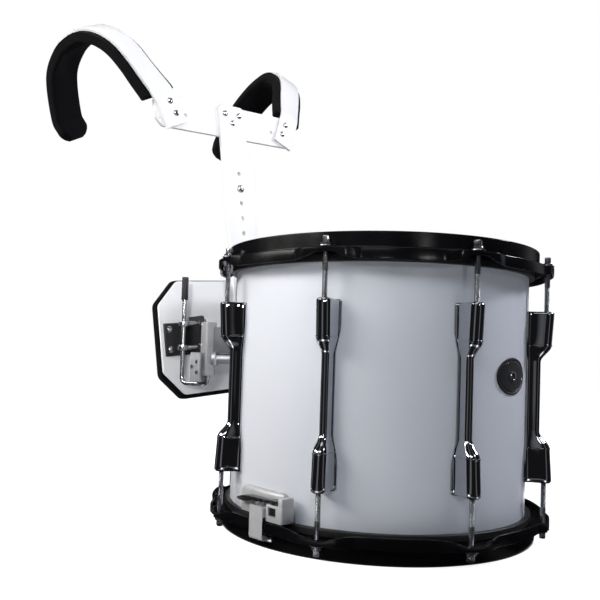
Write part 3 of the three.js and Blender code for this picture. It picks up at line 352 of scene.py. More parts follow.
def make_flags():
    """A low dark ring round the set, seen in mirrors only. Its brightness changes softly with the
    angle about the drum's axis: nearly black, with a few faint upright bands. On the ground it has
    one bright ring close round the drum, the pale floor as the chrome's undersides see it."""
    mesh = bpy.data.meshes.new("flags")
    points, faces = skin(round_rings(FLAG_PROFILE, 96), capped=False)
    mesh.from_pydata((points + DRUM_AXIS).tolist(), [], faces)
    flags = add_object("flags", mesh)
    for ray in ("camera", "diffuse", "shadow", "transmission", "volume_scatter"):
        setattr(flags, "visible_" + ray, False)
    cloth = bpy.data.materials.new("dark_flag")
    tree = empty_tree(cloth)
    where = node(tree, "Mapping", node(tree, "TexCoord").outputs["Object"], -DRUM_AXIS).outputs[0]
    angle = node(tree, "TexGradient", where, use={"gradient_type": "RADIAL"})
    ramp = node(tree, "ValToRGB", angle.outputs["Fac"])
    bands = [(0.0, FLAG_DARK)]
    for middle, half, level in FLAG_BANDS:
        share, half_share = ((middle - 90) % 360 - 180) / 360 + 0.5, half / 360
        bands += [(share - half_share, FLAG_DARK), (share, level), (share + half_share, FLAG_DARK)]
    for place, level in sorted(bands):
        ramp.color_ramp.elements.new(place).color = (level, level, level * 1.05, 1)
    ramp.color_ramp.elements.remove(ramp.color_ramp.elements[-1])
    far = node(tree, "VectorMath", where, use={"operation": "LENGTH"}).outputs["Value"]
    off = maths(tree, "ABSOLUTE", maths(tree, "SUBTRACT", far, RING_AWAY))
    level = maths(tree, "ADD", spread(tree, off, RING_HALF, 0.0, 0.0, RING_LEVEL), 1.0)
    glow = node(tree, "Emission", ramp.outputs["Color"], level)
    node(tree, "OutputMaterial", glow.outputs[0])
    mesh.materials.append(cloth)


def add_lamp(name, kind, place, target, **settings):
    """A lamp at a place from the drum's axis, whose backward axis points away from its target."""
    data = bpy.data.lights.new(name, kind)
    for label, value in settings.items():
        setattr(data, label, value)
    turn = (Vector(place) - Vector(target)).normalized().to_track_quat("Z", "Y")
    add_object(name, data).matrix_world = Matrix.LocRotScale(Vector(DRUM_AXIS + place), turn, None)


make_world()
make_floor()
make_flags()
for name, angle, rise, wide, tall, watts, colour in (
        ("key_left", -116, 27, 1.7, 0.45, 36, (1.0, 0.965, 0.91)),
        ("key_front", -60, 33, 1.1, 0.45, 8.0, (0.88, 0.93, 1.0)),
        ("fill_front", 2, 42, 0.35, 0.35, 3.2, (0.88, 0.90, 1.0)),
        ("fill_right", 54, 35, 0.35, 0.35, 24, (0.91, 0.93, 1.0)),
        ("top", 150, 78, 1.8, 1.4, 5, (1.0, 1.0, 1.0))):
    level, upward = LAMP_AWAY * math.cos(math.radians(rise)), LAMP_AWAY * math.sin(math.radians(rise))
    add_lamp(name, "AREA", LAMP_TARGET + outward(angle) * level + [0, 0, upward], LAMP_TARGET,
             shape="RECTANGLE", size=wide, size_y=tall, energy=watts, color=colour)
for name, start, end, cone, watts in (
        ("carrier_beam", (-0.9, -2.2, 0.95), (0.0, 0.22, 0.80), 24, 150),
        ("plate_beam", (-1.75, -1.35, 0.62), (-0.20, 0.235, 0.30), 9, 190)):
    add_lamp(name, "SPOT", start, end, energy=watts, shadow_soft_size=0.2, spot_size=math.radians(cone),
             spot_blend=0.7)
bpy.context.scene.view_settings.view_transform = "Standard"

# %% [markdown]
# ## Shared effects
# Real finishes are never even. Three effects come back on many pieces, so each is a node group
# that is built once: handling marks, which change a gloss in soft smears; a fine skin, which is
# the tiny ripple of sprayed paint or cast metal; and foam, a cloud of pin-prick pores.

# %% Build the shared node groups
def new_group(name, inputs, *outputs):
    """A shader node group with float inputs and their values, and float outputs."""
    tree = bpy.data.node_groups.new(name, "ShaderNodeTree")
    for label, value in inputs.items():
        tree.interface.new_socket(label, in_out="INPUT", socket_type="NodeSocketFloat").default_value = value
    for label in outputs:
        tree.interface.new_socket(label, in_out="OUTPUT", socket_type="NodeSocketFloat")
    return tree, tree.nodes.new("NodeGroupInput").outputs, tree.nodes.new("NodeGroupOutput").inputs


def noise(tree, scale, detail, rough):
    """A noise texture on Object coordinates, which every piece reads in metres."""
    where = node(tree, "TexCoord").outputs["Object"]
    return node(tree, "TexNoise", Vector=where, Scale=scale, Detail=detail, Roughness=rough).outputs["Fac"]


def make_marks_group():
    """Roughness = base + smears, where smears is a stretched, thresholded large noise."""
    tree, given, out = new_group("handling marks", {"Roughness": 0.2, "Smear": 0.1, "Scale": 12.0},
                                 "Roughness", "Mask")
    mask = spread(tree, noise(tree, given["Scale"], 6.0, 0.65), 0.45, 0.72, 0.0, 1.0)
    feed(tree, out["Mask"], mask)
    feed(tree, out["Roughness"], maths(tree, "MULTIPLY_ADD", mask, given["Smear"], given["Roughness"]))
    return tree


def make_skin_group():
    """Height = a fine noise plus a broad one, each times its own strength."""
    tree, given, out = new_group("fine skin", {"Fine scale": 900.0, "Fine": 1.0, "Broad scale": 60.0,
                                               "Broad": 1.0}, "Height")
    fine = maths(tree, "MULTIPLY", noise(tree, given["Fine scale"], 2.0, 0.5), given["Fine"])
    broad = noise(tree, given["Broad scale"], 2.0, 0.5)
    feed(tree, out["Height"], maths(tree, "MULTIPLY_ADD", broad, given["Broad"], fine))
    return tree


def make_foam_group():
    """Height dips in each small cell of a Voronoi pattern, and the mask is a cloud."""
    tree, given, out = new_group("foam", {"Scale": 700.0, "Depth": 1.0, "Shade": 0.3}, "Height", "Mask")
    where = node(tree, "TexCoord").outputs["Object"]
    cells = node(tree, "TexVoronoi", Vector=where, Scale=given["Scale"])
    feed(tree, out["Height"], maths(tree, "MULTIPLY", cells.outputs["Distance"], given["Depth"]))
    feed(tree, out["Mask"], spread(tree, noise(tree, 35.0, 5.0, 0.6), 0.35, 0.7, 0.0, given["Shade"]))
    return tree


MARKS, SKIN, FOAM = make_marks_group(), make_skin_group(), make_foam_group()
print("groups:", [tree.name for tree in bpy.data.node_groups])

# %% [markdown]
# ## Finishes
# One function makes them all: a base colour that drifts a little, handling marks in the
# roughness, and a fine skin as bump. What is the same all over, such as metal, is a plain number on
# the shader. Chrome is a metal with almost no roughness, and the dark chrome of the lugs is the
# same mirror over a greyer metal. A key names the record's slot, and a variant of it after a slash.
# Two rows have an extra: the straps' plastic lets some light through, and the foam's cloth has fuzz.

# %% Build the finishes
def finish_of(name, colour, shade, metal, rough, smear, marks_scale, relief, bump, spec=0.5, **more):
    """One Principled shader: colour mixed towards shade by a mask, and bump. The relief is a skin of
    four numbers (two scales and strengths), or foam of two (cell scale and depth)."""
    made = bpy.data.materials.new(name)
    made.use_nodes = True
    tree = made.node_tree
    marks = node(tree, "Group", rough, smear, marks_scale, use={"node_tree": MARKS}).outputs
    form = node(tree, "Group", *relief, use={"node_tree": FOAM if len(relief) == 2 else SKIN}).outputs
    mask = (form if len(relief) == 2 else marks)["Mask"]
    mix = node(tree, "Mix", use={"data_type": "RGBA"}, A=(*colour, 1), B=(*shade, 1), Factor=mask)
    lift = node(tree, "Bump", Strength=1.0, Distance=bump, Height=form["Height"])
    for label, value in {"Base Color": mix.outputs["Result"], "Roughness": marks["Roughness"],
                         "Normal": lift.outputs["Normal"], "Metallic": metal, "Specular IOR Level": spec,
                         **more}.items():
        feed(tree, tree.nodes["Principled BSDF"].inputs[label], value)
    return made


PLAIN, PLATED = (900, 0.3, 60, 0.7), (900, 0.4, 120, 0.6)
CAST, POWDER = (1100, 0.7, 220, 0.5), (1500, 1, 300, 0.4)
# material, colour, shade, metal, roughness, smear, scale of the marks, relief, bump, specular
FINISH_ROWS = {
    "shell": ("white_lacquer", (0.80, 0.83, 0.895), (0.775, 0.805, 0.875), 0, 0.34, 0.05, 6,
              (420, 0.12, 28, 1.0), 0.00010, 0.4),
    "head_film": ("coated_film", (0.86, 0.86, 0.84), (0.80, 0.80, 0.78), 0, 0.62, 0.12, 12,
                  (1600, 1.0, 300, 0.4), 0.00010),
    "black_hoop": ("black_gloss_enamel", (0.004, 0.004, 0.005), (0.007, 0.007, 0.008), 0, 0.17, 0.10, 18,
                   (500, 0.3, 60, 0.8), 0.00006, 0.12),
    "dark_chrome": ("smoked_mirror_chrome", (0.50, 0.51, 0.54), (0.44, 0.45, 0.48), 1, 0.035, 0.06, 30,
                    (700, 0.2, 60, 0.8), 0.00003),
    "dark_chrome/black": ("black_nickel", (0.012, 0.012, 0.014), (0.02, 0.02, 0.023), 0.2, 0.24, 0.14, 50,
                          PLATED, 0.00004),
    "chrome": ("bright_chrome", (0.62, 0.63, 0.65), (0.54, 0.55, 0.57), 1, 0.16, 0.12, 40, PLATED, 0.00005),
    "chrome/rod": ("plated_rod", (0.40, 0.41, 0.43), (0.32, 0.33, 0.35), 1, 0.20, 0.14, 60, PLATED,
                   0.00005),
    "chrome/cast": ("satin_casting", (0.60, 0.61, 0.63), (0.50, 0.51, 0.53), 0.25, 0.42, 0.12, 50, CAST,
                    0.00010),
    "chrome/grey": ("grey_casting", (0.36, 0.365, 0.38), (0.28, 0.285, 0.30), 0.25, 0.42, 0.14, 50, CAST,
                    0.00010),
    # The darkest copy of the casting is painted shade for the mounts' foot and web, which sit in shade between
    # the tube and the shell.
    "chrome/dark": ("casting_painted_shade", (0.15, 0.155, 0.165), (0.11, 0.11, 0.12), 0.25, 0.45, 0.14, 50, CAST,
                    0.00010),
    "chrome/satin": ("satin_plating", (0.66, 0.67, 0.69), (0.52, 0.53, 0.55), 1, 0.40, 0.10, 50,
                     (1300, 0.6, 200, 0.4), 0.00008),
    "steel_wire": ("bare_steel", (0.55, 0.55, 0.56), (0.40, 0.40, 0.41), 1, 0.28, 0.15, 80, PLAIN, 0.00003),
    "strap_plastic": ("milky_plastic", (0.70, 0.71, 0.72), (0.62, 0.63, 0.65), 0, 0.30, 0.15, 60,
                      (1200, 0.5, 150, 0.5), 0.00005),
    "white_metal": ("white_powder_coat", (0.91, 0.91, 0.92), (0.88, 0.88, 0.89), 0, 0.36, 0.10, 14,
                    (700, 0.6, 160, 0.5), 0.00008, 0.4),
    "black_metal": ("black_powder_coat", (0.014, 0.014, 0.015), (0.022, 0.022, 0.023), 0, 0.42, 0.12, 40,
                    POWDER, 0.00012),
    "foam": ("black_foam_cloth", (0.002, 0.002, 0.003), (0.006, 0.006, 0.008), 0, 0.9, 0.06, 12, (900, 1.0),
             0.00025, 0.1),
    "rubber": ("black_rubber", (0.020, 0.020, 0.021), (0.035, 0.035, 0.036), 0, 0.68, 0.12, 60,
               (1500, 0.8, 300, 0.4), 0.00010),
}
FINISH_EXTRAS = {"strap_plastic": {"Transmission Weight": 0.35},
                 "foam": {"Sheen Weight": 0.03, "Sheen Roughness": 0.5}}
FINISHES = {key: finish_of(*row, **FINISH_EXTRAS.get(key, {})) for key, row in FINISH_ROWS.items()}
record_slots = {entry["node"]: entry["material_slot"] for entry in frame["record"]["subparts"]}
print("finishes:", len(FINISHES), "slots used:", sorted(set(record_slots.values())))

# %% [markdown]
# ## Pieces
# A skin becomes an object at the origin. Sharp edges are marked by their angle, and everything
# flatter is shaded smooth. Each piece gets one finish, is parented to the empty of the body it
# rides on, and hides the solids it stands for.

# %% Piece helpers
SHARP, SHARP_FOAM = 38, 60


def mesh_of(name, points, faces):
    """A mesh in metres from drum millimetres, without doubles and faces that have no area, and with
    all faces turned outwards."""
    mesh = bpy.data.meshes.new(name)
    mesh.from_pydata((np.asarray(points) * MM + DRUM_AXIS).tolist(), [], faces)
    work = bmesh.new()
    work.from_mesh(mesh)
    bmesh.ops.remove_doubles(work, verts=work.verts, dist=1e-6)
    bmesh.ops.dissolve_degenerate(work, edges=work.edges, dist=1e-7)
    bmesh.ops.recalc_face_normals(work, faces=work.faces)
    work.to_mesh(mesh)
    work.free()
    return mesh


def shade_smooth(mesh, sharp):
    """Smooth shading, apart from the edges over an angle in degrees."""
    mesh.polygons.foreach_set("use_smooth", np.ones(len(mesh.polygons), bool))
    mesh.set_sharp_from_angle(angle=math.radians(sharp))


def dress(piece, finish):
    """Gives the piece its one finish, whose key is "slot/variant" or "slot"."""
    piece.data.materials.clear()
    piece.data.materials.append(FINISHES[finish])


def make_piece(name, shape, finish, body, cad=(), sharp=SHARP):
    """One object from a skin, with its finish, the body it rides on and the solids it stands for."""
    mesh = mesh_of(name, *shape)
    shade_smooth(mesh, sharp)
    made = add_object(name, mesh)
    dress(made, finish)
    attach(made, body)
    if cad:
        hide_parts(*cad)
    return made


def cut_away(piece, *skins, sharp=SHARP):
    """Takes closed skins, in drum millimetres, out of a piece, with an exact boolean."""
    for points, faces in skins:
        cutter = add_object("cutter", mesh_of("cutter", points, faces))
        step = piece.modifiers.new("cut", "BOOLEAN")
        step.object, step.operation, step.solver = cutter, "DIFFERENCE", "EXACT"
        done = bpy.data.meshes.new_from_object(piece.evaluated_get(bpy.context.evaluated_depsgraph_get()))
        piece.modifiers.clear()
        old, piece.data = piece.data, done
        for mesh in (old, cutter.data):
            bpy.data.meshes.remove(mesh)
    shade_smooth(piece.data, sharp)


def spun(points, angle):
    """Turns points about the drum's axis by an angle in degrees."""
    return np.asarray(points) @ np.stack([sideways(angle), -outward(angle), (0, 0, 1)])


def set_on_shell(rings, angle, middle=0.0):
    """(along the shell, out from the axis, height) becomes a place on the drum at that angle from the
    front, with the heights counted from the middle."""
    rings = np.asarray(rings, float)
    return rings @ np.stack([sideways(angle), outward(angle), np.array([0, 0, 1.0])]) + [0, 0, middle]


print("sharp edges from", SHARP, "degrees")

# %% [markdown]
# ## The shell
# A drum shell is a ply cylinder under white lacquer. Its two edges are cut to a peak, where the
# heads bear. Turning one closed profile round the axis gives it, and 256 sides keep the long
# vertical reflections straight.

# %% Make the shell
SHELL_RADIUS, SHELL_WALL, SHELL_EDGE = 177.8, 6.0, 1.5
SHELL_LOW, SHELL_HIGH = low.z / MM, high.z / MM
DRUM_HEIGHT = SHELL_LOW + SHELL_HIGH
MID_HEIGHT = DRUM_HEIGHT / 2


def ring_of(outline, sides=256):
    """A closed outline of (radius, height) pairs turned right round the drum's axis. One outline may
    also be given for each angle."""
    angle = np.linspace(0, 360, sides, endpoint=False)
    rings = outward(angle)[:, None] * outline[..., :1]
    rings[..., 2] = outline[..., 1]
    return skin(rings, around=True)


def turned_over(outline):
    """(radius, height) pairs of the drum's upper end become those of its lower end."""
    return outline * [1, -1] + [0, DRUM_HEIGHT]


inner_face, peak = SHELL_RADIUS - SHELL_WALL, SHELL_RADIUS - SHELL_EDGE
upper_half = np.array([(SHELL_RADIUS, SHELL_HIGH - SHELL_EDGE), (peak, SHELL_HIGH),
                       (inner_face, SHELL_HIGH - peak + inner_face)])
shell_profile = np.concatenate([turned_over(upper_half[::-1]), upper_half])
make_piece("drum_shell", ring_of(rounded(shell_profile, 0.7, 3)), "shell", "drum", ["shell"])
print("shell:", SHELL_LOW, "to", SHELL_HIGH, "mm")

# %% [markdown]
# ## The heads
# Each head is a film whose rim is glued into a metal ring, the flesh hoop. The film runs flat to
# the shell's peak, turns over it and goes down to that ring. The lower head is the same turned over.

# %% Make both heads
SEAT, FILM, COLLAR_GAP = 0.3, 0.6, 0.4
FLESH_TALL, FLESH_WIDE = 8, 6.1
collar, head_top, turn_over = SHELL_RADIUS + COLLAR_GAP, SHELL_HIGH + SEAT, SHELL_HIGH - 1.2
flesh_top = SHELL_HIGH - 9
film_profile = [(0, head_top), (peak, head_top), (collar, turn_over), (collar, flesh_top + 0.05),
                (collar + FILM, flesh_top + 0.05), (collar + FILM, turn_over), (peak, head_top + FILM),
                (0, head_top + FILM)]
film_corner = [0, 1.5, 1.5, 0.1, 0.1, 2.0, 3.0, 0]
flesh_low, flesh_out = flesh_top - FLESH_TALL, collar + FLESH_WIDE
flesh_profile = [(collar, flesh_top), (collar, flesh_low), (flesh_out, flesh_low), (flesh_out, flesh_top)]
# The flesh hoops' black powder coat is partly real paint and partly painted shade for the shadow under the
# hoop's skirt, where they sit.
for head, cad in (("playing", "batter_head"), ("snare_side", "snare_head")):
    for part, profile, finish in (("head", rounded(film_profile, film_corner, 5), "head_film"),
                                  ("flesh_hoop", rounded(flesh_profile, 1.2, 5), "black_metal")):
        shape = ring_of(profile if head == "playing" else turned_over(profile), 192)
        make_piece(f"{head}_{part}", shape, finish, "drum", [cad] if part == "head" else [])
print("heads: film", FILM, "mm, collar at", round(collar, 1), "mm")

# %% [markdown]
# ## The hoops
# A marching hoop is cast in one piece: a standing collar that pulls the head down, a flange, and a
# skirt that hangs from it. At each rod the skirt runs out into an ear, thicker and further out. So
# the section changes with the angle, and the whole hoop is one grid of angle by outline.

# %% Make both hoops
LUGS, FIRST_LUG, LUG_PITCH, ROD_CIRCLE = 8, 22.5, 45.0, 198.0
HOOP_RADIUS, HOOP_WALL, FLANGE, FLANGE_DROP = 189.0, 3.4, 4.0, 17.4
SKIRT_OUT, EAR_OUT, SKIRT_WALL = 198.5, 6.5, 2.6
HEM_SHORT, HEM_LONG, HEM_FLARE = 5.0, 7.7, 1.2
EAR_HALF, EAR_RUN, HEM_START, HEM_RUN = 5.2, 6.0, 2.4, 3.6
GATES, GATE_ASIDE, GATE_RISE = ((-191, -182), (182, 191)), (-16, 12), (6.9, 12.3)


def off_ear(angle):
    """How many degrees an angle is away from the nearest ear."""
    return np.abs((angle - FIRST_LUG + LUG_PITCH / 2) % LUG_PITCH - LUG_PITCH / 2)


def hoop_sections(angle):
    """For each angle, the closed outline of the hoop in (radius, height): lip, collar, rim, flange,
    and the skirt. Its outer face stands out over an ear, by a smooth step, and its hem hangs in long
    scallops: it has come down by the share 1 - exp(-(d / 3.6)^1.1), d degrees off the ear's edge."""
    off = off_ear(angle)
    ear = 1 - smooth_step((off - EAR_HALF) / EAR_RUN)
    hem_share = 1 - np.exp(-(np.clip(off - HEM_START, 0, None) / HEM_RUN) ** 1.1)
    top = DRUM_HEIGHT - FLANGE_DROP
    bottom, inner = top - FLANGE, HOOP_RADIUS - HOOP_WALL
    lip = collar + FILM + SEAT
    outer = SKIRT_OUT + EAR_OUT * ear
    hem = top - (HEM_SHORT + HEM_LONG * hem_share)
    flare = outer + HEM_FLARE * (1 - ear)
    points = [(lip, bottom), (lip, bottom + 2.4), (inner, top), (inner, DRUM_HEIGHT),
              (HOOP_RADIUS, DRUM_HEIGHT), (HOOP_RADIUS, top), (outer, top), (flare, hem),
              (flare - SKIRT_WALL, hem), (outer - SKIRT_WALL, bottom)]
    return np.stack([np.stack(np.broadcast_arrays(r, z, angle)[:2], -1) for r, z in points], 1)


def hoop_shape(low_side, sides=720):
    """The rounded sections set round the drum's axis, as they are or turned over."""
    sections = hoop_sections(np.linspace(0, 360, sides, endpoint=False))
    outline = rounded(sections, [0.6, 0.8, 1.5, 1.3, 1.3, 2.2, 1.6, 0.8, 0.8, 2.2], 5)
    return ring_of(turned_over(outline) if low_side else outline, sides)


def box_skin(lows, highs):
    """An upright box between two corners."""
    (x1, y1, z1), (x2, y2, z2) = lows, highs
    return skin([raised([(x1, y1), (x2, y1), (x2, y2), (x1, y2)], z) for z in (z1, z2)])


make_piece("counter_hoop_top", hoop_shape(False), "black_hoop", "drum", ["top_hoop"])
bottom_hoop = make_piece("counter_hoop_bottom", hoop_shape(True), "black_hoop", "drum", ["bottom_hoop"])
cut_away(bottom_hoop, *[box_skin(*zip(out, GATE_ASIDE, GATE_RISE)) for out in GATES])
print("hoop triangles:", sum(len(p.vertices) - 2 for p in bottom_hoop.data.polygons))

# %% [markdown]
# ## The lugs
# One casting per rod pair: two barrels on a foot that hugs the shell, and a slim neck between them.
# A small bead closes each barrel, and below it the foot narrows in one soft curve. Every level is
# the same outline with other sizes, so a lug is a stack of outlines from top to bottom. The last
# outlines at each end shrink to a circle and go down into the bore.

# %% Make the eight lugs
LUG_HEIGHT, LUG_WEB, BARREL_RADIUS, NECK_RADIUS, NECK_DROP = 193.4, 2.2, 8.2, 4.6, 10.0
BARREL_END, BORE_RADIUS, BORE_DEEP = 38.6, 3.5, 26.0
NECK_RUN, BEAD, BARREL_LEAN, LUG_HALF, LUG_NARROW = 18.5, 0.55, 2.2, 12, 5
FOOT = SHELL_RADIUS + SEAT


def lug_outline(foot_half, round_radius, back):
    """Half a lug's level from the middle of its back to the middle of its foot, then its mirror
    image. Arrays in, (levels, points, 2) out: across the lug, and out from the drum's axis."""
    foot_half, round_radius, back = foot_half[:, None], round_radius[:, None], back[:, None]
    turn = np.radians(np.linspace(90, 0, 11))
    centre = back - round_radius
    web, foot_out = FOOT + LUG_WEB, np.sqrt(FOOT ** 2 - foot_half ** 2)
    web_edge = web - FOOT + foot_out
    t = np.linspace(0.12, 1, 8)
    start, middle, end = (round_radius, centre), (round_radius, web + 0.3), (foot_half - 0.5, web_edge + 0.1)
    fillet = [bend(*places, t) for places in zip(start, middle, end)]
    under = foot_half * [0.6, 0.25]
    across = np.hstack([round_radius * np.cos(turn), fillet[0], foot_half, foot_half, under])
    out = np.hstack([centre + round_radius * np.sin(turn), fillet[1], web_edge - 0.6, foot_out,
                     np.sqrt(FOOT ** 2 - under ** 2)])
    half = np.stack([across, out], -1)
    foot_middle = np.stack([0 * foot_half, FOOT + 0 * foot_half], -1)
    return np.concatenate([half, foot_middle, half[:, :0:-1] * [-1, 1]], 1)


def lug_levels():
    """Depth below the end, and there half width of the foot, radius of the round back, and how far
    out that back lies. The bead is a short bulge, and smooth steps run from barrel to neck."""
    depth = np.concatenate([[0, 1.5, 1.9], np.linspace(6, 37.2, 6), [37.5, 37.8, 38.6, 38.9, 39.2],
                            np.linspace(40.5, 58, 12), [70, LUG_HEIGHT / 2]])
    to_neck = smooth_step((depth - BARREL_END) / NECK_RUN)
    end_chamfer = np.interp(depth, [0, 1.5, 1.9], [1.6, 0.12, 0])
    radius = BARREL_RADIUS + (NECK_RADIUS - BARREL_RADIUS) * to_neck - end_chamfer
    radius += np.where((depth > BARREL_END - 1) & (depth < 39), BEAD, 0)
    lean = BARREL_LEAN * np.clip((depth - 4) / 35, 0, 1)
    back = ROD_CIRCLE + radius - lean - (NECK_DROP - BARREL_LEAN) * to_neck
    foot_half = LUG_HALF - LUG_NARROW * smooth_step((depth - 26) / 32) - end_chamfer
    return depth, foot_half, radius, back


def lug_shape():
    """The levels, mirrored about the middle, with a bore at each end."""
    depth, foot_half, radius, back = lug_levels()
    outline = lug_outline(foot_half, radius, back)
    points = outline.shape[1]
    round_one = spokes(np.interp(np.arange(points), [0, 10, points / 2, points - 11, points],
                                 [90, 0, -90, -180, -270]))
    bore = [(BORE_RADIUS, BORE_DEEP), (BORE_RADIUS, 0.5), (BORE_RADIUS + 0.4, 0.0)]
    rings = [raised(round_one * r + [0, ROD_CIRCLE], LUG_HEIGHT / 2 - d) for r, d in bore]
    rings += [raised(level, LUG_HEIGHT / 2 - d) for level, d in zip(outline, depth)]
    return np.array(rings + [ring * [1, 1, -1] for ring in rings[-2::-1]])


lug_rings = lug_shape()
for i in range(LUGS):
    make_piece(f"lug_casting_{i + 1}", skin(set_on_shell(lug_rings, FIRST_LUG + LUG_PITCH * i, MID_HEIGHT)),
               "dark_chrome", "drum", [f"lug_{i + 1}"], sharp=32)
print("lug rings:", lug_rings.shape)

# %% [markdown]
# ## The tension rods
# A rod has a square key head, a collar, a loose washer, a smooth shank and a thread. The thread is
# a real spiral: on a grid of height by angle the radius falls and rises once for each pitch of
# height, and the angle shifts it, so that the valleys climb as they go round.

# %% Make the sixteen tension rods
THREAD_LOW, THREAD_HIGH, THREAD_RADIUS, CORE_RADIUS = 259, 289.0, 2.95, 2.5


def threaded_rings(radius, pitch, deep, start, end, sides=14, steps=8):
    """radius - deep * |2 frac(height / pitch - angle / 360) - 1| on a grid of height by angle."""
    height = np.linspace(start, end, max(2, int(round(abs(end - start) / pitch * steps))))[:, None]
    share = np.arange(sides) / sides
    r = (radius - deep * np.abs(2 * ((height / pitch - share) % 1) - 1))[..., None]
    return np.concatenate([r * circle(1, sides), np.broadcast_to(height[..., None], r.shape)], -1)


def shank(before, thread, after):
    """Rings of a bolt: plain (radius, height) pairs, a thread as threaded_rings takes it, more pairs."""
    return np.concatenate([round_rings(before), threaded_rings(*thread), round_rings(after)])


def square_head(side, low_z, high_z):
    """A square bar with rounded edges whose top narrows to a low pyramid."""
    levels = [(0.97, low_z), (1, low_z + 0.3), (1, high_z - 1.2), (0.82, high_z - 0.35), (0.5, high_z)]
    return skin([raised(rounded(SQUARE * side / 2 * size, 0.5, 3), z) for size, z in levels])


def rod_shape():
    """Washer, collar, head, shank and thread, upright on the rod's own axis."""
    seat = DRUM_HEIGHT - FLANGE_DROP + SEAT
    end = MID_HEIGHT + LUG_HEIGHT / 2 - BORE_DEEP
    washer = rounded([(3.1, 0), (7.4, 0), (7.4, 1.1), (6.0, 1.7), (3.1, 1.7)], 0.3, 3).tolist() + [(3.1, 0)]
    flange = [(0, 1.75), (4.6, 1.75), (5.5, 2.2), (5.6, 3.4), (5.3, 4.0), (4.4, 4.2), (0, 4.2)]
    stem = shank([(1.8, end), (CORE_RADIUS, end + 0.6), (CORE_RADIUS, THREAD_LOW)],
                 (THREAD_RADIUS, 1.1, 0.42, THREAD_LOW + 0.5, THREAD_HIGH),
                 [(2.75, THREAD_HIGH + 0.4), (2.75, THREAD_HIGH + 1), (THREAD_RADIUS, THREAD_HIGH + 1.6),
                  (THREAD_RADIUS, seat + 1.9)])
    return put_together(skin(stem), turned(washer, 32, (0, 0, seat)), turned(flange, 32, (0, 0, seat)),
                        square_head(6.4, seat + 4.0, seat + 11.4))


rod_points, rod_faces = rod_shape()
for i in range(LUGS):
    angle = FIRST_LUG + LUG_PITCH * i
    for side, way, lift in (("top", 1, 0), ("bottom", -1, DRUM_HEIGHT)):
        points = spun(rod_points * [1, way, way] + [0, 0, lift], angle + 17 * i) + outward(angle) * ROD_CIRCLE
        rod = f"rod_{side}_{i + 1}"
        make_piece("key_" + rod, (points, rod_faces), "chrome/rod", "tension_" + rod, ["tension_" + rod], 30)
print("rod points:", len(rod_points))

# %% [markdown]
# ## The snares and their straps
# Sixteen coiled wires lie under the lower head between two soldered plates. A coil is a small circle
# carried along a helix, so its grid needs only a few points round and a few per turn. At each side a
# plastic strap comes in through the hoop's gate, holds the plate, and goes up outside the skirt.

# %% Make the snare wires and the two straps
SNARE_DROP = 1.6
SNARE_TOP = DRUM_HEIGHT - SHELL_HIGH - SEAT - FILM - SNARE_DROP
STRANDS, STRAND_PITCH, STRAND_REACH, STRAND_DROP = 16, 2.6, 148.0, 0.75
PLATE_HALF, PLATE_ASIDE = 4.5, 21.8


def coil_rings(reach, coil_radius, wire_radius, turns, per_turn=6, sides=4):
    """A circle of wire_radius carried along (x, R cos a, R sin a), where a grows evenly with x."""
    a = np.linspace(0, 2 * np.pi * turns, turns * per_turn + 1)
    spoke = np.stack([0 * a, np.cos(a), np.sin(a)], -1)
    middle = coil_radius * spoke + np.linspace(-reach, reach, len(a))[:, None] * [1, 0, 0]
    ring = circle(wire_radius, sides)
    return middle[:, None] + ring[:, :1] * spoke[:, None] + ring[:, 1:] * [1, 0, 0]


def slab(x1, x2, y1, y2, z1, z2, corner=1.2, edge=0.35):
    """A plate lying flat, with rounded corners and softened upper and lower edges."""
    middle, half = np.array([x1 + x2, y1 + y2]) / 2, np.array([x2 - x1, y2 - y1]) / 2
    return skin([raised(rounded(middle + SQUARE * (half - inset), corner, 5), z)
                 for inset, z in soft_ends(z1, z2, ((edge, 0), (0, edge)))])


strand = coil_rings(STRAND_REACH - 3, 0.5, 0.22, 110)
strand_skins = [skin(strand + [0, (k - (STRANDS - 1) / 2) * STRAND_PITCH, SNARE_TOP - STRAND_DROP])
                for k in range(STRANDS)]
plate_skins = [slab(middle - PLATE_HALF, middle + PLATE_HALF, -PLATE_ASIDE, PLATE_ASIDE, SNARE_TOP - 1.9,
                    SNARE_TOP + 0.5) for middle in (-STRAND_REACH, STRAND_REACH)]
make_piece("snare_coils", put_together(*strand_skins, *plate_skins), "steel_wire", "drum", ["snare_wires"])

BACK_PLATE, SLIDE_WALL, SLIDE_LOW, SLIDE_TALL, SLIDE_TRAVEL = 6.8, 3, 34.0, 9.4, 2.5
STRAP_HALF, STRAP_THICK, STRAP_ASIDE, GATE_MIDDLE, SKIRT_DEPTH = 10.0, 0.8, -5.0, 10.4, 12.5
STRAP_INNER = SHELL_RADIUS + BACK_PLATE + SLIDE_WALL + SEAT
STRAINER_JAW = SKIRT_OUT + HEM_FLARE + 1.5 * STRAP_THICK
STRAP_END = SLIDE_LOW + SLIDE_TALL + 2.2


def strap_path(start):
    """The strap's middle line, out from the axis and up, with every corner bent to a soft radius. It
    starts at one distance from the axis, high up, and hangs down outside the skirt."""
    over = FLANGE_DROP + SKIRT_DEPTH + SLIDE_TRAVEL + SEAT + STRAP_THICK / 2
    under, inside = SNARE_TOP - STRAND_DROP, STRAND_REACH + PLATE_HALF + SEAT
    corners = [(start, STRAP_END), (start, over + 0.4), (STRAINER_JAW, over - 0.2), (STRAINER_JAW, GATE_MIDDLE),
               (HOOP_RADIUS - HOOP_WALL - 8, GATE_MIDDLE), (inside + 12, under), (inside, under)]
    return distinct(rounded(corners, [0, 2.2, 2.6, 3.6, 9, 5, 0], 9, closed=False))


def strap_shape(side, start, aside):
    """A flat outline with round edges carried along the path, on the strainer's side or the other."""
    path = strap_path(start)
    line = np.column_stack([side * path[:, 0], np.full(len(path), aside), path[:, 1]])
    return skin(carried(rounded(SQUARE * [STRAP_HALF, STRAP_THICK / 2], 0.35, 4), line, (0, 1, 0)))


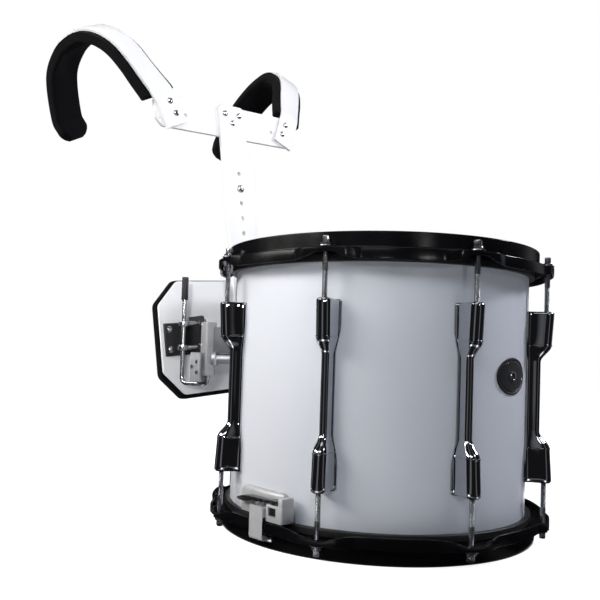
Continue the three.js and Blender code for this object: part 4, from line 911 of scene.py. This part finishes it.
make_piece("strap_at_strainer", strap_shape(-1, STRAINER_JAW, STRAP_ASIDE), "strap_plastic", "throw_slide",
           ["snare_strap_strainer"])
make_piece("strap_at_butt", strap_shape(1, STRAP_INNER, 0), "strap_plastic", "drum", ["snare_strap_butt"])
print("strap path points:", len(strap_path(STRAP_INNER)))

# %% [markdown]
# ## Cast fittings
# The butt plate and the strainer's knob already have their true shapes as solids. A real casting has
# no knife edges, so each gets its loose triangles welded, its flat faces joined, and its edges
# rounded by a fraction of a millimetre. Those narrow roundings catch the light.

# %% Soften and finish the fittings that stay as solids
def soften(name, finish, width, sharp=35):
    """Weld, join flat faces, round edges over the given angle, and let big faces keep their shading."""
    solid = nodes[name]
    solid.data.polygons.foreach_set("use_smooth", np.ones(len(solid.data.polygons), bool))
    if "custom_normal" in solid.data.attributes:
        solid.data.attributes.remove(solid.data.attributes["custom_normal"])
    solid.modifiers.new("weld", "WELD").merge_threshold = 1e-6
    flat = solid.modifiers.new("flat faces", "DECIMATE")
    flat.decimate_type, flat.angle_limit = "DISSOLVE", math.radians(1.0)
    edge = solid.modifiers.new("soft edges", "BEVEL")
    edge.width, edge.segments, edge.limit_method = width * MM, 2, "ANGLE"
    edge.angle_limit, edge.harden_normals, edge.use_clamp_overlap = math.radians(sharp), True, True
    dress(solid, finish)


soften("butt_plate", "chrome/cast", 0.6)
soften("strainer_knob", "chrome", 0.3)
print("softened:", [o.name for o in nodes.values() if o.modifiers])

# %% [markdown]
# ## The strainer
# A cast housing on the shell: a curved back plate, and a block with a window at one end of it. The
# slide holds the strap, and a black lever with a thick beak swings on the block. Each is a stack of
# rounded outlines, level by level, and the lever's outlines stand along its own length.

# %% Make the strainer
def stack(levels, angle=-90):
    """One skin from (height, outline) levels on the drum at an angle from the front. An outline holds
    (along the shell, out from the axis) pairs, and all have the same number of them."""
    return skin([set_on_shell(raised(outline, z), angle) for z, outline in levels])


def on_shell(low, high, depth, inset=0.0, steps=13):
    """A curved plate's outline on the shell between two places along it, both faces parallel to it."""
    way = np.linspace(low + inset, high - inset, steps)
    outer, inner = (np.column_stack([way, np.sqrt(radius ** 2 - way ** 2)])
                    for radius in (FOOT + depth - inset, FOOT))
    return np.concatenate([outer, inner[::-1]])


def soft_block(near, far, out1, out2, low, high, corner=2.0, edge=0.8, angle=-90):
    """A block with rounded upright edges and a softened top and bottom."""
    levels = []
    for inset, z in soft_ends(low, high, ((edge, 0), (edge * 0.3, edge * 0.3), (0, edge))):
        a, b, c, d = near + inset, far - inset, out1 + inset, out2 - inset
        levels.append((z, rounded([(a, c), (b, c), (b, d), (a, d)], corner, 6)))
    return stack(levels, angle)


LEVER_PIVOT, LEVER_OUT, LEVER_LOW, LEVER_CURVE = 25.5, 191.2, 49.1, 0.38
plate_levels = [(z, on_shell(-41 - 2 * t, 27 + t, 6.4, inset))
                for inset, z, t in ((0.8, 30.4, 1), (0.2, 30.7, 1), (0, 31.3, 1), (0, 50, 1), (0.2, 54, 0.6),
                                    (0.9, 56.5, 0), (2.0, 58.0, -1), (3.4, 58.8, -2))]
shoulder = soft_block(33.2, 40, 179.5, 197.6, 40, 57, 2.4, 1.6)
make_piece("strainer_housing", put_together(stack(plate_levels), shoulder), "chrome/cast", "drum",
           ["strainer_base"])
block = soft_block(15, 40.2, 179, 197.8, 30.9, 48.7, 3.0, 1.0)
housing = make_piece("strainer_block", block, "chrome/cast", "drum")
cut_away(housing, box_skin((-198.5, -31, 37.2), (-189.0, -20, 46.0)))
window = soft_block(20.4, 30.6, 189.5, 196.4, 37.6, 45.6, 0.6, 0.3)
make_piece("strainer_window", window, "dark_chrome/black", "drum")
slide_body = soft_block(-STRAP_ASIDE - 11.6, -STRAP_ASIDE + 9.4, 185.0, STRAINER_JAW - STRAP_THICK, SLIDE_LOW,
                        SLIDE_LOW + SLIDE_TALL, 1.2, 0.5)
make_piece("strainer_jaw", slide_body, "chrome/cast", "throw_slide", ["strainer_slide"])


def lever_rings():
    """Rounded outlines across the lever: a slim arm that follows the shell, with a share of its curve,
    then a thick beak. A station is (place along the shell, half width, low, high)."""
    stations = [(25.5, 4.5, 49.1, 52.7), (14, 4.5, 49.0, 52.4), (2, 4.6, 48.6, 52.0), (-10, 4.8, 47.4, 51.8),
                (-19, 5.0, 45.4, 51.2), (-27, 4.8, 44.2, 50.0), (-34, 4.2, 44.0, 48.2), (-39, 3.2, 44.2, 46.6),
                (-40.6, 2.0, 44.6, 45.8)]
    share = np.linspace(0, len(stations) - 1, 33)
    way, half, low, high = (np.interp(share, np.arange(len(stations)), column) for column in zip(*stations))
    out = LEVER_OUT + np.sqrt(SHELL_RADIUS ** 2 - (way - LEVER_PIVOT) ** 2 * LEVER_CURVE) - SHELL_RADIUS
    rings = []
    for a, r1, r2, z1, z2 in zip(way, out - half, out + half, low, high):
        cross = rounded([(r1, z1), (r2, z1), (r2, z2), (r1, z2)], 1.2, 5)
        rings.append(set_on_shell(np.column_stack([np.full(len(cross), a), cross]), -90))
    return rings


hub = turned(rounded([(0.01, 0), (6.4, 0), (6.4, 4.2), (0.01, 4.2)], [0, 0.4, 0.8, 0], 4), 40,
             set_on_shell((LEVER_PIVOT, LEVER_OUT, LEVER_LOW), -90))
make_piece("strainer_beak", put_together(skin(lever_rings()), hub), "dark_chrome/black", "throw_lever",
           ["strainer_lever"])
print("strainer points:", len(housing.data.vertices))

# %% [markdown]
# ## The carrier mounts
# Two at the back of the drum. A curved foot holds a stud, the stud holds an upright square tube, and
# the J-rod's hook goes into that tube from below. A web ties the tube to the foot, and a slotted
# block stands on its far side. The tube is a rounded square carried upwards, with a bore below.

# %% Make the two carrier mounts
MOUNT_ANGLE, POST_OUT, TUBE_LOW, TUBE_HIGH = -144, 219.0, 172.7, 242.3
MOUNT_LOW, MOUNT_HIGH, STUD_HEIGHT, SOCKET_LOW = 179.7, 225.7, 195.0, 164.3
MOUNT_WAY = outward(MOUNT_ANGLE)


def mount_skins():
    """Foot with its web, tube with its bore, and slotted block of the mount on the wearer's right."""
    foot_levels = [(z, on_shell(-15, 15, 4, inset))
                   for inset, z in soft_ends(MOUNT_LOW, MOUNT_HIGH, ((0.8, 0), (0.2, 0.2), (0, 0.8)))]
    outer = rounded([(-11.3, 0), (0, -11.3), (11.3, 0), (0, 11.3)], 3.0, 6)
    round_one = spokes(np.linspace(180, -180, 24, endpoint=False) + 30) * [1, -1]
    levels = [(z, line * size + [0, POST_OUT]) for line, size, z in (
        (round_one, 3.4, TUBE_LOW + 20), (round_one, 3.4, TUBE_LOW + 0.4), (round_one, 3.8, TUBE_LOW),
        (outer, 0.93, TUBE_LOW), (outer, 0.98, TUBE_LOW + 0.3), (outer, 1, TUBE_LOW + 0.9),
        (outer, 1, TUBE_HIGH - 1.2), (outer, 0.97, TUBE_HIGH - 0.4), (outer, 0.90, TUBE_HIGH))]
    web = soft_block(-4.5, 4.5, 181, POST_OUT - 8, 202, 236, 1.0, 0.6, MOUNT_ANGLE)
    slotted = soft_block(-17, 15, 224.5, 239, SOCKET_LOW, 202.3, 3.0, 1.2, MOUNT_ANGLE)
    return put_together(stack(foot_levels, MOUNT_ANGLE), web), stack(levels, MOUNT_ANGLE), slotted


def stud_skins():
    """A round stud with a boss where it meets the tube and a collar on the foot, and two cap screws."""
    profile = [(0, 181.5), (10, 181.5), (10.4, 182.0), (10.4, 184.6), (9.8, 185.2), (6.5, 185.4), (6.5, 206.0),
               (9.4, 206.4), (10.2, 207.4), (10.2, 211.4), (9.0, 212.6), (0, 212.6)]
    screws = [dome_screw(3.4, 2.2, MOUNT_WAY * (POST_OUT + 8.2) + [0, 0, z], MOUNT_WAY) for z in (238.0, 212.0)]
    return put_together(turned(profile, 40, (0, 0, STUD_HEIGHT), MOUNT_WAY), *screws)


def dome_screw(radius, tall, base, way):
    """A domed head: its profile is a quarter of an ellipse on a short edge, with a six-sided socket."""
    rim, reach = 0.5, 68
    dome = arc((0, 0), 1, 0, reach, 8) * [radius, (tall - rim) / math.sin(math.radians(reach))] + [0, rim]
    head = turned([(0, 0), (radius - 0.2, 0), (radius, 0.2), *dome, (0, tall)], 32, base, way)
    wide, narrow = radius * 0.34, radius * 0.26
    socket = turned([(0, 0.02), (wide, 0.02), (wide, 0.12), (narrow, 0.12), (narrow, 0.05), (0, 0.05)], 6,
                    base + way / np.linalg.norm(way) * tall, way)
    return put_together(head, socket)


slot_cutters = [soft_block(7, 18, out - half, out + half, z - 2.2, z + 2.2, 0.4, 0.2, MOUNT_ANGLE)
                for out, z, half in ((229.5, 176.5, 2.0), (236.0, 183.5, 2.0), (230.0, 190.0, 1.4))]
# The foot and its web take the darkest copy of the casting as painted shade.
mount_parts = list(zip(("foot", "tube", "block", "stud"), ("dark", "grey", "grey", "satin"),
                       (*mount_skins(), stud_skins())))
for name, side in SIDES:
    for part, finish, (points, faces) in mount_parts:
        made = make_piece(f"mount_{part}_{name}", (points * [-side, 1, 1], faces), "chrome/" + finish, "drum",
                          [f"carrier_mount_{name}"] if part == "tube" else [])
        if part == "block":
            mount = made
            cut_away(mount, *[(points * [-side, 1, 1], faces) for points, faces in slot_cutters])
print("mount points:", len(mount.data.vertices))

# %% [markdown]
# ## The J-rods and what clamps them
# On each side a chrome rod hangs in its mount and runs up through two eye bolts. The rod is a circle
# carried along a path with two bends. An eye is a turned ring, and its shank is threaded where the
# nut sits, behind the bracket's cheek.

# %% Make the rods, sleeves and eye bolts
J_SIDE, J_BACK, J_TOP, J_RADIUS, J_BEND = 137.0, 222.0, 303.0, 3.0, 9.0
EYE_HEIGHT, EYE_DROP, CHEEK_INNER, CHEEK_THICK, SCREW_RADIUS = 240, 32, 110, 4, 2.95


def j_path(side):
    """Down the back, round under the mount and up into its tube, bent on a radius of 9 mm."""
    bottom = SOCKET_LOW - SEAT - J_RADIUS
    tip_aside, tip_back, _ = POST_OUT * MOUNT_WAY * [-1, 1, 1]
    corners = [(J_BACK, J_TOP), (J_BACK, bottom), (tip_back, bottom), (tip_back, bottom + J_BEND + 15)]
    bent = distinct(rounded(corners, [0, J_BEND, J_BEND, 0], 12, closed=False))
    toward = np.clip((J_BACK - bent[:, 0]) / (J_BACK - tip_back), 0, 1)
    return np.column_stack([side * (J_SIDE + (tip_aside - J_SIDE) * toward), bent])


def hexagon_nut(across, thick, base, way, hole=2.8):
    """Two chamfered hexagons with a hole, along way from base."""
    turn = np.radians(np.arange(0, 360, 5))
    edge = (across / 2) / np.cos((turn + math.pi / 6) % (math.pi / 3) - math.pi / 6)
    worn = np.minimum(edge, across / 2 * 1.03)
    levels = [(hole, 0), (worn, 0), (edge, 0.5), (edge, thick - 0.5), (worn, thick), (hole, thick)]
    rings = [np.stack([r * np.cos(turn), r * np.sin(turn), z + 0 * turn], -1) for r, z in levels]
    return skin(along(rings, base, way), around=True)


def eye_centre(side, drop):
    """The middle of an eye bolt's ring: the upper one's height follows the carrier's lean."""
    return np.array([side * J_SIDE, J_BACK, EYE_HEIGHT + (side + 1) * J_SIDE * math.tan(LEAN_ASIDE) - drop])


def eye_bolt(side, drop):
    """A ring round the J-rod, a shank along the carrier's across, a nut and a rounded end."""
    centre, way = eye_centre(side, drop), -side * ACROSS
    section = rounded([(3.3, -3.5), (7, -3.5), (7, 3.5), (3.3, 3.5)], 0.9, 5).tolist() + [(3.3, -2.6)]
    cheek = side * to_carrier(centre)[0] - CHEEK_INNER + CHEEK_THICK + SEAT
    stem = shank([(SCREW_RADIUS, 5.5), (SCREW_RADIUS, cheek - 6)],
                 (SCREW_RADIUS, 1.0, 0.35, cheek - 5.8, cheek + 6.2), [(2.5, cheek + 6.6), (1.6, cheek + 6.95)])
    return put_together(turned(section, 40, centre), skin(along(stem, centre, way)),
                        hexagon_nut(11.6, 5.0, centre + way * cheek, way))


for name, side in SIDES:
    make_piece(f"hooked_rod_{name}", skin(carried(circle(J_RADIUS, 20), j_path(side), (1, 0, 0))), "chrome/rod",
               "drum", [f"j_rod_{name}"])
    sleeve_low = J_TOP - 31 + (9 if side > 0 else 0)
    sleeve = [(3.6, 0), (4.1, 0), (4.4, 0.5), (4.4, 30.3), (4.0, 31), (3.6, 31), (3.6, 0)]
    make_piece(f"soft_sleeve_{name}", turned(sleeve, 32, (side * J_SIDE, J_BACK, sleeve_low)), "rubber", "drum",
               [f"rod_sleeve_{name}"])
    for level, drop in (("upper", 0), ("lower", EYE_DROP)):
        make_piece(f"clamp_eye_{level}_{name}", eye_bolt(side, drop), "chrome", "rod_clamps",
                   [f"eye_bolt_{level}_{name}"])
print("J-rod path points:", len(j_path(1)))

# %% [markdown]
# ## The carrier's plates
# Rail, stem, crossbar, belly plate and brackets are cut from flat metal, so each is drawn as a flat
# outline with its holes. Blender's 2D curve fills the outline, gives it thickness and rounds its
# edges; the result becomes a mesh and is then laid into the carrier's frame.

# %% A flat plate from an outline with holes
def flat_mesh(outline, holes, thick, edge):
    """The mesh of a filled 2D curve, thick in z about 0, whose rounded edges stay inside it."""
    curve = bpy.data.curves.new("outline", "CURVE")
    curve.dimensions, curve.fill_mode = "2D", "BOTH"
    curve.extrude, curve.bevel_depth, curve.bevel_resolution, curve.offset = thick / 2 - edge, edge, 2, -edge
    for line in [outline, *holes]:
        spline = curve.splines.new("POLY")
        spline.points.add(len(line) - 1)
        spline.points.foreach_set("co", np.column_stack([raised(line, 0), np.ones(len(line))]).ravel())
        spline.use_cyclic_u = True
    holder = add_object("outline", curve)
    mesh = bpy.data.meshes.new_from_object(holder.evaluated_get(bpy.context.evaluated_depsgraph_get()))
    bpy.data.objects.remove(holder)
    bpy.data.curves.remove(curve)
    points = np.empty(len(mesh.vertices) * 3)
    mesh.vertices.foreach_get("co", points)
    faces = [list(p.vertices) for p in mesh.polygons]
    bpy.data.meshes.remove(mesh)
    return points.reshape(-1, 3), faces


def plate_shape(outline, holes, front, thick, edge=0.5):
    """A plate across and up the carrier, from its front face backwards."""
    points, faces = flat_mesh(outline, holes, thick, edge)
    local = np.column_stack([points[:, 0], front + thick / 2 + points[:, 2], points[:, 1]])
    return from_carrier(local), faces


def slot_hole(x, low_z, high_z, half):
    """An upright slot: two half circles joined by straight sides."""
    return np.concatenate([arc((x, high_z - half), half, 0, 180, 17),
                           arc((x, low_z + half), half, 180, 360, 17)])


def octagon(half, low_z, high_z, cut, corner=3.0):
    """A rectangle with its corners cut off and every corner softened."""
    points = [(-half + cut, low_z), (half - cut, low_z), (half, low_z + cut), (half, high_z - cut),
              (half - cut, high_z), (-half + cut, high_z), (-half, high_z - cut), (-half, low_z + cut)]
    return rounded(points, corner, 5)


print("points of an octagon:", len(octagon(20, 0, 40, 5)))

# %% [markdown]
# ## Rail, stem and crossbar
# The rail is fixed to the belly plate and has six height holes. The stem slides behind it on two
# bolts through its slots, and carries the crossbar, where the two shoulder hooks are bolted on.

# %% Make the flat frame of the carrier
BAR, GAP, RAIL_FRONT = 5.0, 0.3, 36.0
STEM_FRONT = RAIL_FRONT + BAR + GAP
CROSS_FRONT = STEM_FRONT + BAR
HOLES = [133.5 + 22.5 * k for k in range(6)]
BOLTS = {"lower": HOLES[0], "upper": HOLES[4]}
SLOT_HALF, SLOT_DOWN, SLOT_UP = 3.9, 40, 21


def flat_piece(name, body, cad, outline, holes, front, thick=BAR, edge=0.5):
    """One plate of white metal."""
    make_piece(name, plate_shape(outline, holes, front, thick, edge), "white_metal", body, [cad])


rail_outline = rounded([(-28, -46), (28, -46), (28, 253), (19, 262), (-19, 262), (-28, 253)],
                       [1, 1, 3, 3, 3, 3], 5)
rail_front = plate_shape(rail_outline, [circle(3.4, 32) + [0, h] for h in HOLES], RAIL_FRONT, BAR)
spacer_outline = rounded([(-27.7, -45.7), (27.7, -45.7), (27.7, 46), (-27.7, 46)], 1, 4)
spacer = plate_shape(spacer_outline, [], RAIL_FRONT + BAR, BAR + 2 * GAP, 0.3)
make_piece("height_rail", put_together(rail_front, spacer), "white_metal", "carrier_frame", ["rail"])
flat_piece("sliding_stem", "shoulder_frame", "stem",
           rounded([(-25, 76), (25, 76), (25, 345.5), (19.5, 351), (-19.5, 351), (-25, 345.5)], 2.5, 5),
           [slot_hole(0, h - SLOT_DOWN - SLOT_HALF, h + SLOT_UP + SLOT_HALF, SLOT_HALF)
            for h in BOLTS.values()], STEM_FRONT)
flat_piece("shoulder_crossbar", "shoulder_frame", "crossbar", octagon(136, 303, 351, 11, 2.5),
           [circle(3.1, 32) + [x, 324] for x in (-84, 84)], CROSS_FRONT)


def height_bolt(height):
    """A domed head in front of the rail, a threaded shank through the slot, and a nut behind."""
    head = dome_screw(6.2, 3.2, from_carrier((0, RAIL_FRONT - GAP, height)), -BACK)
    stem = shank([(SCREW_RADIUS, 0)], (SCREW_RADIUS, 1.0, 0.35, 0.5, 16.8), [(2.4, 17.2)])
    nut = hexagon_nut(11.4, 4.2, from_carrier((0, CROSS_FRONT + GAP, height)), BACK)
    return put_together(head, skin(along(stem, from_carrier((0, RAIL_FRONT - GAP - 0.2, height)), BACK)), nut)


for name, height in BOLTS.items():
    make_piece(f"rail_bolt_{name}", height_bolt(height), "chrome", "carrier_frame", [f"height_bolt_{name}"])
print("plates:", 3, "bolts at", BOLTS)

# %% [markdown]
# ## The belly plate, its pad and the brackets
# The plate is an octagon of white metal. Behind it lies a foam pad of the same outline, a little
# larger below, whose free edge is rounded: its outline shrinks along a quarter circle as it goes
# back, and the last outlines draw in to a gentle crown.

# %% Make the belly plate, the belly pad and the brackets
BRACKET_BACK = RAIL_FRONT + 2 * (BAR + GAP)
PLATE_FRONT, PLATE_THICK = BRACKET_BACK + GAP / 2, 3.0
PAD_FRONT, PAD_EDGE = PLATE_FRONT + PLATE_THICK + GAP, 4
flat_piece("waist_plate", "carrier_frame", "belly_plate", octagon(156, -73, 85, 33, 4), [], PLATE_FRONT,
           PLATE_THICK, 0.6)


def belly_pad_rings():
    """(inset, depth) runs straight back, round a quarter of an ellipse, and then inwards."""
    edge = arc((0, 0), 1, 0, 90, 8) * [-PAD_EDGE, 3.2] + [PAD_EDGE, 9]
    steps = [(1.2, 0), (0.3, 0.5), (0, 1.4), *edge, (10, 12.55), (20, 12.8), (34, 12.95), (50, 13.0)]
    rings = []
    for inset, depth in steps:
        across, up = octagon(157.6 - inset, -79 + inset, 86.6 - inset, 33 - 0.15 * inset, 5).T
        rings.append(from_carrier(np.column_stack([across, np.full(len(across), PAD_FRONT + depth), up])))
    return np.array(rings)


belly_pad = make_piece("waist_pad", skin(belly_pad_rings()), "foam", "carrier_frame", ["belly_pad"], SHARP_FOAM)


def bracket_shape(side):
    """A plate on the belly plate and a cheek that stands forward from it, with a hole for the upper
    eye bolt and an arc-shaped slot for the lower one, about that hole."""
    base_outline = rounded([(106, -18), (151, -18), (151, 27), (106, 27)], 1.5, 4) * [side, 1]
    base_plate = plate_shape(base_outline, [], BRACKET_BACK - 4, 4, 0.4)
    pivot, lower = (to_carrier(eye_centre(side, drop))[1:] for drop in (0, EYE_DROP))
    hole, reach = 3.5, math.hypot(*(lower - pivot))
    middle = math.degrees(math.atan2(*(lower - pivot)[::-1]))
    start, end = middle - 9, middle + 9
    first, last = (arc(pivot, reach, turn, turn, 1) for turn in (start, end))
    slot = [arc(pivot, reach + hole, start, end, 12), arc(last, hole, end, end + 180, 10),
            arc(pivot, reach - hole, end, start, 12), arc(first, hole, start + 180, start + 360, 10)]
    near, far = BRACKET_BACK - 34, BRACKET_BACK - 3.8
    cheek_outline = rounded([(near, -18), (far, -18), (far, 34), (near, 34)], [4, 0.5, 0.5, 4], 5)
    points, faces = flat_mesh(cheek_outline, [circle(hole, 32) + pivot, np.concatenate(slot)], CHEEK_THICK, 0.4)
    local = np.column_stack([side * (CHEEK_INNER - CHEEK_THICK / 2 + points[:, 2]), points[:, 0], points[:, 1]])
    return put_together(base_plate, (from_carrier(local), faces))


def screw_row(spots, back, radius=4.8, tall=2.8):
    """Domed screws at (across, up) places of the carrier, with their heads to the front."""
    return put_together(*[dome_screw(radius, tall, from_carrier((across, back, up)), -BACK)
                          for across, up in spots])


for name, side in SIDES:
    make_piece(f"clamp_bracket_{name}", bracket_shape(side), "black_metal", "carrier_frame",
               [f"rod_bracket_{name}"])
    screws = screw_row([(side * 143.5, up) for up in (18.6, -8.9)], BRACKET_BACK - 4, 4.6, 2.6)
    make_piece(f"bracket_screws_{name}", screws, "chrome", "carrier_frame")
print("belly pad outline points:", belly_pad_rings().shape)

# %% [markdown]
# ## The shoulder hooks and their pads
# Each hook is one flat bar bent over the shoulder. Its middle line is a smooth curve through a few
# points; after a straight foot on the crossbar it leans outwards and slowly turns its toe out. The
# pad is a foam band inside it: a rounded outline carried along the same line, drawn in at its end.

# %% Make the hooks and the shoulder pads
HOOK_RISE, HOOK_REACH, HOOK_FOOT = 175.0, 217.0, 50
HOOK_HALF, HOOK_THICK, HOOK_LEAN, HOOK_TOE = 18, 4.7, math.radians(24.9), math.radians(7.9)
HOOK_ASIDE, HOOK_LOW, TWIST_RUN, HOOK_TIP, PAD_TIP = 103.5, 306.0, 50, 0.96, 0.955
PAD_HALF, PAD_THICK, PAD_ROUND = 26, 15.5, 0.012
HOOK_POINTS = np.array([(0, 0), (25 / HOOK_RISE, 0), (HOOK_FOOT / HOOK_RISE, 0), (0.44, 0.041),
                        (0.712, 0.119), (0.868, 0.212), (0.965, 0.331), (1, 0.462), (0.965, 0.65),
                        (0.813, 0.848), (0.49, 0.996), (0.34, 1), (0.25, 0.985)]) * [HOOK_RISE, HOOK_REACH]


def spline(points, steps=160):
    """The Catmull-Rom curve: between p1 and p2, with slopes (p2-p0)/2 and (p3-p1)/2, it is the cubic
    that meets both points with both slopes. Its points and their distances along it are returned."""
    p = np.concatenate([points[:1], points, points[-1:]])
    t = np.linspace(0, 1, steps, endpoint=False)[:, None]
    pieces = []
    for p0, p1, p2, p3 in zip(p, p[1:], p[2:], p[3:]):
        s1, s2 = (p2 - p0) / 2, (p3 - p1) / 2
        cubed, squared = 2 * p1 - 2 * p2 + s1 + s2, 3 * p2 - 3 * p1 - 2 * s1 - s2
        pieces.append(cubed * t ** 3 + squared * t ** 2 + s1 * t + p1)
    line = np.concatenate(pieces + [points[-1:]])
    length = np.concatenate([[0], np.cumsum(np.linalg.norm(np.diff(line, axis=0), axis=1))])
    return line, length


hook_line, hook_length = spline(HOOK_POINTS)
HOOK_LENGTH = hook_length[-1]


def hook_rings(side, share, outlines):
    """For each share of the hook's length, its outline of (across, inward) pairs set into space: up
    and back along the line's point, inward at right angles to its run, and across turned by the toe."""
    way = np.asarray(share) * HOOK_LENGTH
    behind, centre, ahead = (
        np.stack([np.interp(way + step, hook_length, column) for column in hook_line.T], -1)
        for step in (-1, 0, 1))
    run = (ahead - behind) / np.linalg.norm(ahead - behind, axis=1)[:, None]
    inward = run[:, ::-1] * [-1, 1]
    up = np.array([side * math.sin(HOOK_LEAN), 0, math.cos(HOOK_LEAN)])
    level = np.array([side * math.cos(HOOK_LEAN), 0, -math.sin(HOOK_LEAN)])
    back = np.array([0, math.cos(HOOK_TOE), 0]) + level * math.sin(HOOK_TOE)
    twist = HOOK_TOE * np.clip((way - HOOK_FOOT) / TWIST_RUN, 0, 1)[:, None]
    out = level * np.cos(twist) + np.array([0, -1.0, 0]) * np.sin(twist)
    flat = centre[:, None] + inward[:, None] * outlines[..., 1:]
    return from_carrier([side * HOOK_ASIDE, STEM_FRONT, HOOK_LOW] + flat[..., :1] * up + flat[..., 1:] * back
                        + out[:, None] * outlines[..., :1])


def fall(share, start, length):
    """How far a share of the length has come from a start: 0 before it, and 1 from the end on."""
    return np.clip((share - start) / length, 0, 1)


def hook_shape(side):
    """A bar 36 mm wide and 4.7 mm thick with softened edges; its far end is a half round."""
    share = np.concatenate([np.linspace(0, HOOK_TIP, 120), np.linspace(0.962, 0.985, 8)])
    half = HOOK_HALF * np.sqrt(1 - 0.96 * fall(share, HOOK_TIP, 0.025) ** 2)[:, None, None]
    corners = half * [[-1, 0], [1, 0], [1, 0], [-1, 0]] + [[0, 0], [0, 0], [0, HOOK_THICK], [0, HOOK_THICK]]
    return skin(hook_rings(side, share, rounded(corners, 0.7, 3)))


def pad_shape(side):
    """A band 52 mm wide and 15.5 mm thick: flat where it is glued, its free face crowned, and both
    ends drawn in along a quarter circle."""
    start = HOOK_FOOT / HOOK_LENGTH
    share = np.concatenate([np.linspace(start, start + PAD_ROUND, 5), np.linspace(start + 0.02, PAD_TIP, 110),
                            np.linspace(0.96, 1.0, 10)])
    near = np.sqrt(1 - (1 - fall(share, start, PAD_ROUND)) ** 2)[:, None]
    far = np.sqrt(1 - 0.9 * fall(share, PAD_TIP, 0.045) ** 2.2)[:, None]
    width = PAD_HALF * (0.97 + 0.03 * near) * (0.35 + 0.65 * far)
    thick = PAD_THICK * (0.86 + 0.14 * near) * (0.62 + 0.38 * far)
    aside = np.array([1.0, 1.0, 0.93, 0.5, 0.0, -0.5, -0.93, -1.0, -1.0])
    depth = np.array([0.0, 0.72, 0.955, 0.99, 1.0, 0.99, 0.955, 0.72, 0.0])
    outline = np.stack([width * aside, HOOK_THICK + SEAT + thick * depth], -1)
    return skin(hook_rings(side, share, rounded(outline, [0.8, 4, 4, 6, 6, 6, 4, 4, 0.8], 5)))


bar_points, bar_faces = box_skin((-136.3, STEM_FRONT, 303), (136.3, STEM_FRONT + 2 * BAR + GAP, 351.3))
for name, side in SIDES:
    make_piece(f"shoulder_strap_{name}", hook_shape(side), "white_metal", "shoulder_frame",
               [f"shoulder_hook_{name}"])
    pad = make_piece(f"shoulder_cushion_{name}", pad_shape(side), "foam", "shoulder_frame",
                     [f"shoulder_pad_{name}"], SHARP_FOAM)
    cut_away(pad, (from_carrier(bar_points), bar_faces), sharp=SHARP_FOAM)
print("hook length:", round(HOOK_LENGTH, 1), "mm")

# %% [markdown]
# ## Small fasteners and the badge
# Domed bolts hold the hooks and the stem to the crossbar. The badge is an oval of black metal that
# follows the shell. It is plain: a raised rim, a fine line inside it, and in the middle the rubber
# lined eyelet of the air hole.

# %% Make the bolts and the badge
bolt_spots = [(13.5, 337.5), (-13.5, 337.5), (0, 324.6)]
bolt_spots += [(side * across, up) for side in (-1, 1) for across, up in ((104, 323), (113, 339))]
make_piece("crossbar_bolts", screw_row(bolt_spots, STEM_FRONT), "chrome", "shoulder_frame")

BADGE_ANGLE, BADGE_RISE, BADGE_HALF = 2.4, 23.0, (30.0, 20.0)


def badge_shape(half_wide, half_tall, profile, sides=96):
    """Ovals shrinking inwards: each (inset, stand-off) pair is an oval that is bent round the shell
    by turning its across distance into an angle."""
    rings = []
    for inset, stand in profile:
        wide, tall = (circle(1, sides) * [half_wide - inset, half_tall - inset]).T
        ring = outward(BADGE_ANGLE + np.degrees(wide / SHELL_RADIUS)) * (SHELL_RADIUS + stand)
        ring[:, 2] = MID_HEIGHT + BADGE_RISE + tall
        rings.append(ring)
    return skin(rings)


plate_profile = [(0.4, 0.05), (0, 0.3), (0, 1.2), (0.3, 1.6), (0.9, 1.75), (1.9, 1.75), (2.3, 1.5), (2.5, 1.2),
                 (9, 1.25), (16, 1.3), (19.5, 1.3)]
line_profile = [(0.0, 1.15), (0.05, 1.42), (0.55, 1.42), (0.6, 1.15)]
eyelet_profile = [(3.3, 0.6), (3.3, 2.3), (4.0, 2.75), (5.2, 2.6), (5.6, 1.9), (5.6, 0.6), (3.3, 0.6)]
make_piece("badge_plate", badge_shape(*BADGE_HALF, plate_profile), "black_metal", "drum")
make_piece("badge_line", badge_shape(26.3, 16.3, line_profile), "dark_chrome", "drum")
hole = outward(BADGE_ANGLE)
eyelet = turned(eyelet_profile, 40, hole * SHELL_RADIUS + [0, 0, MID_HEIGHT + BADGE_RISE], hole)
make_piece("badge_eyelet", eyelet, "dark_chrome", "drum")
print("badge:", BADGE_HALF, "mm at", BADGE_ANGLE, "degrees")
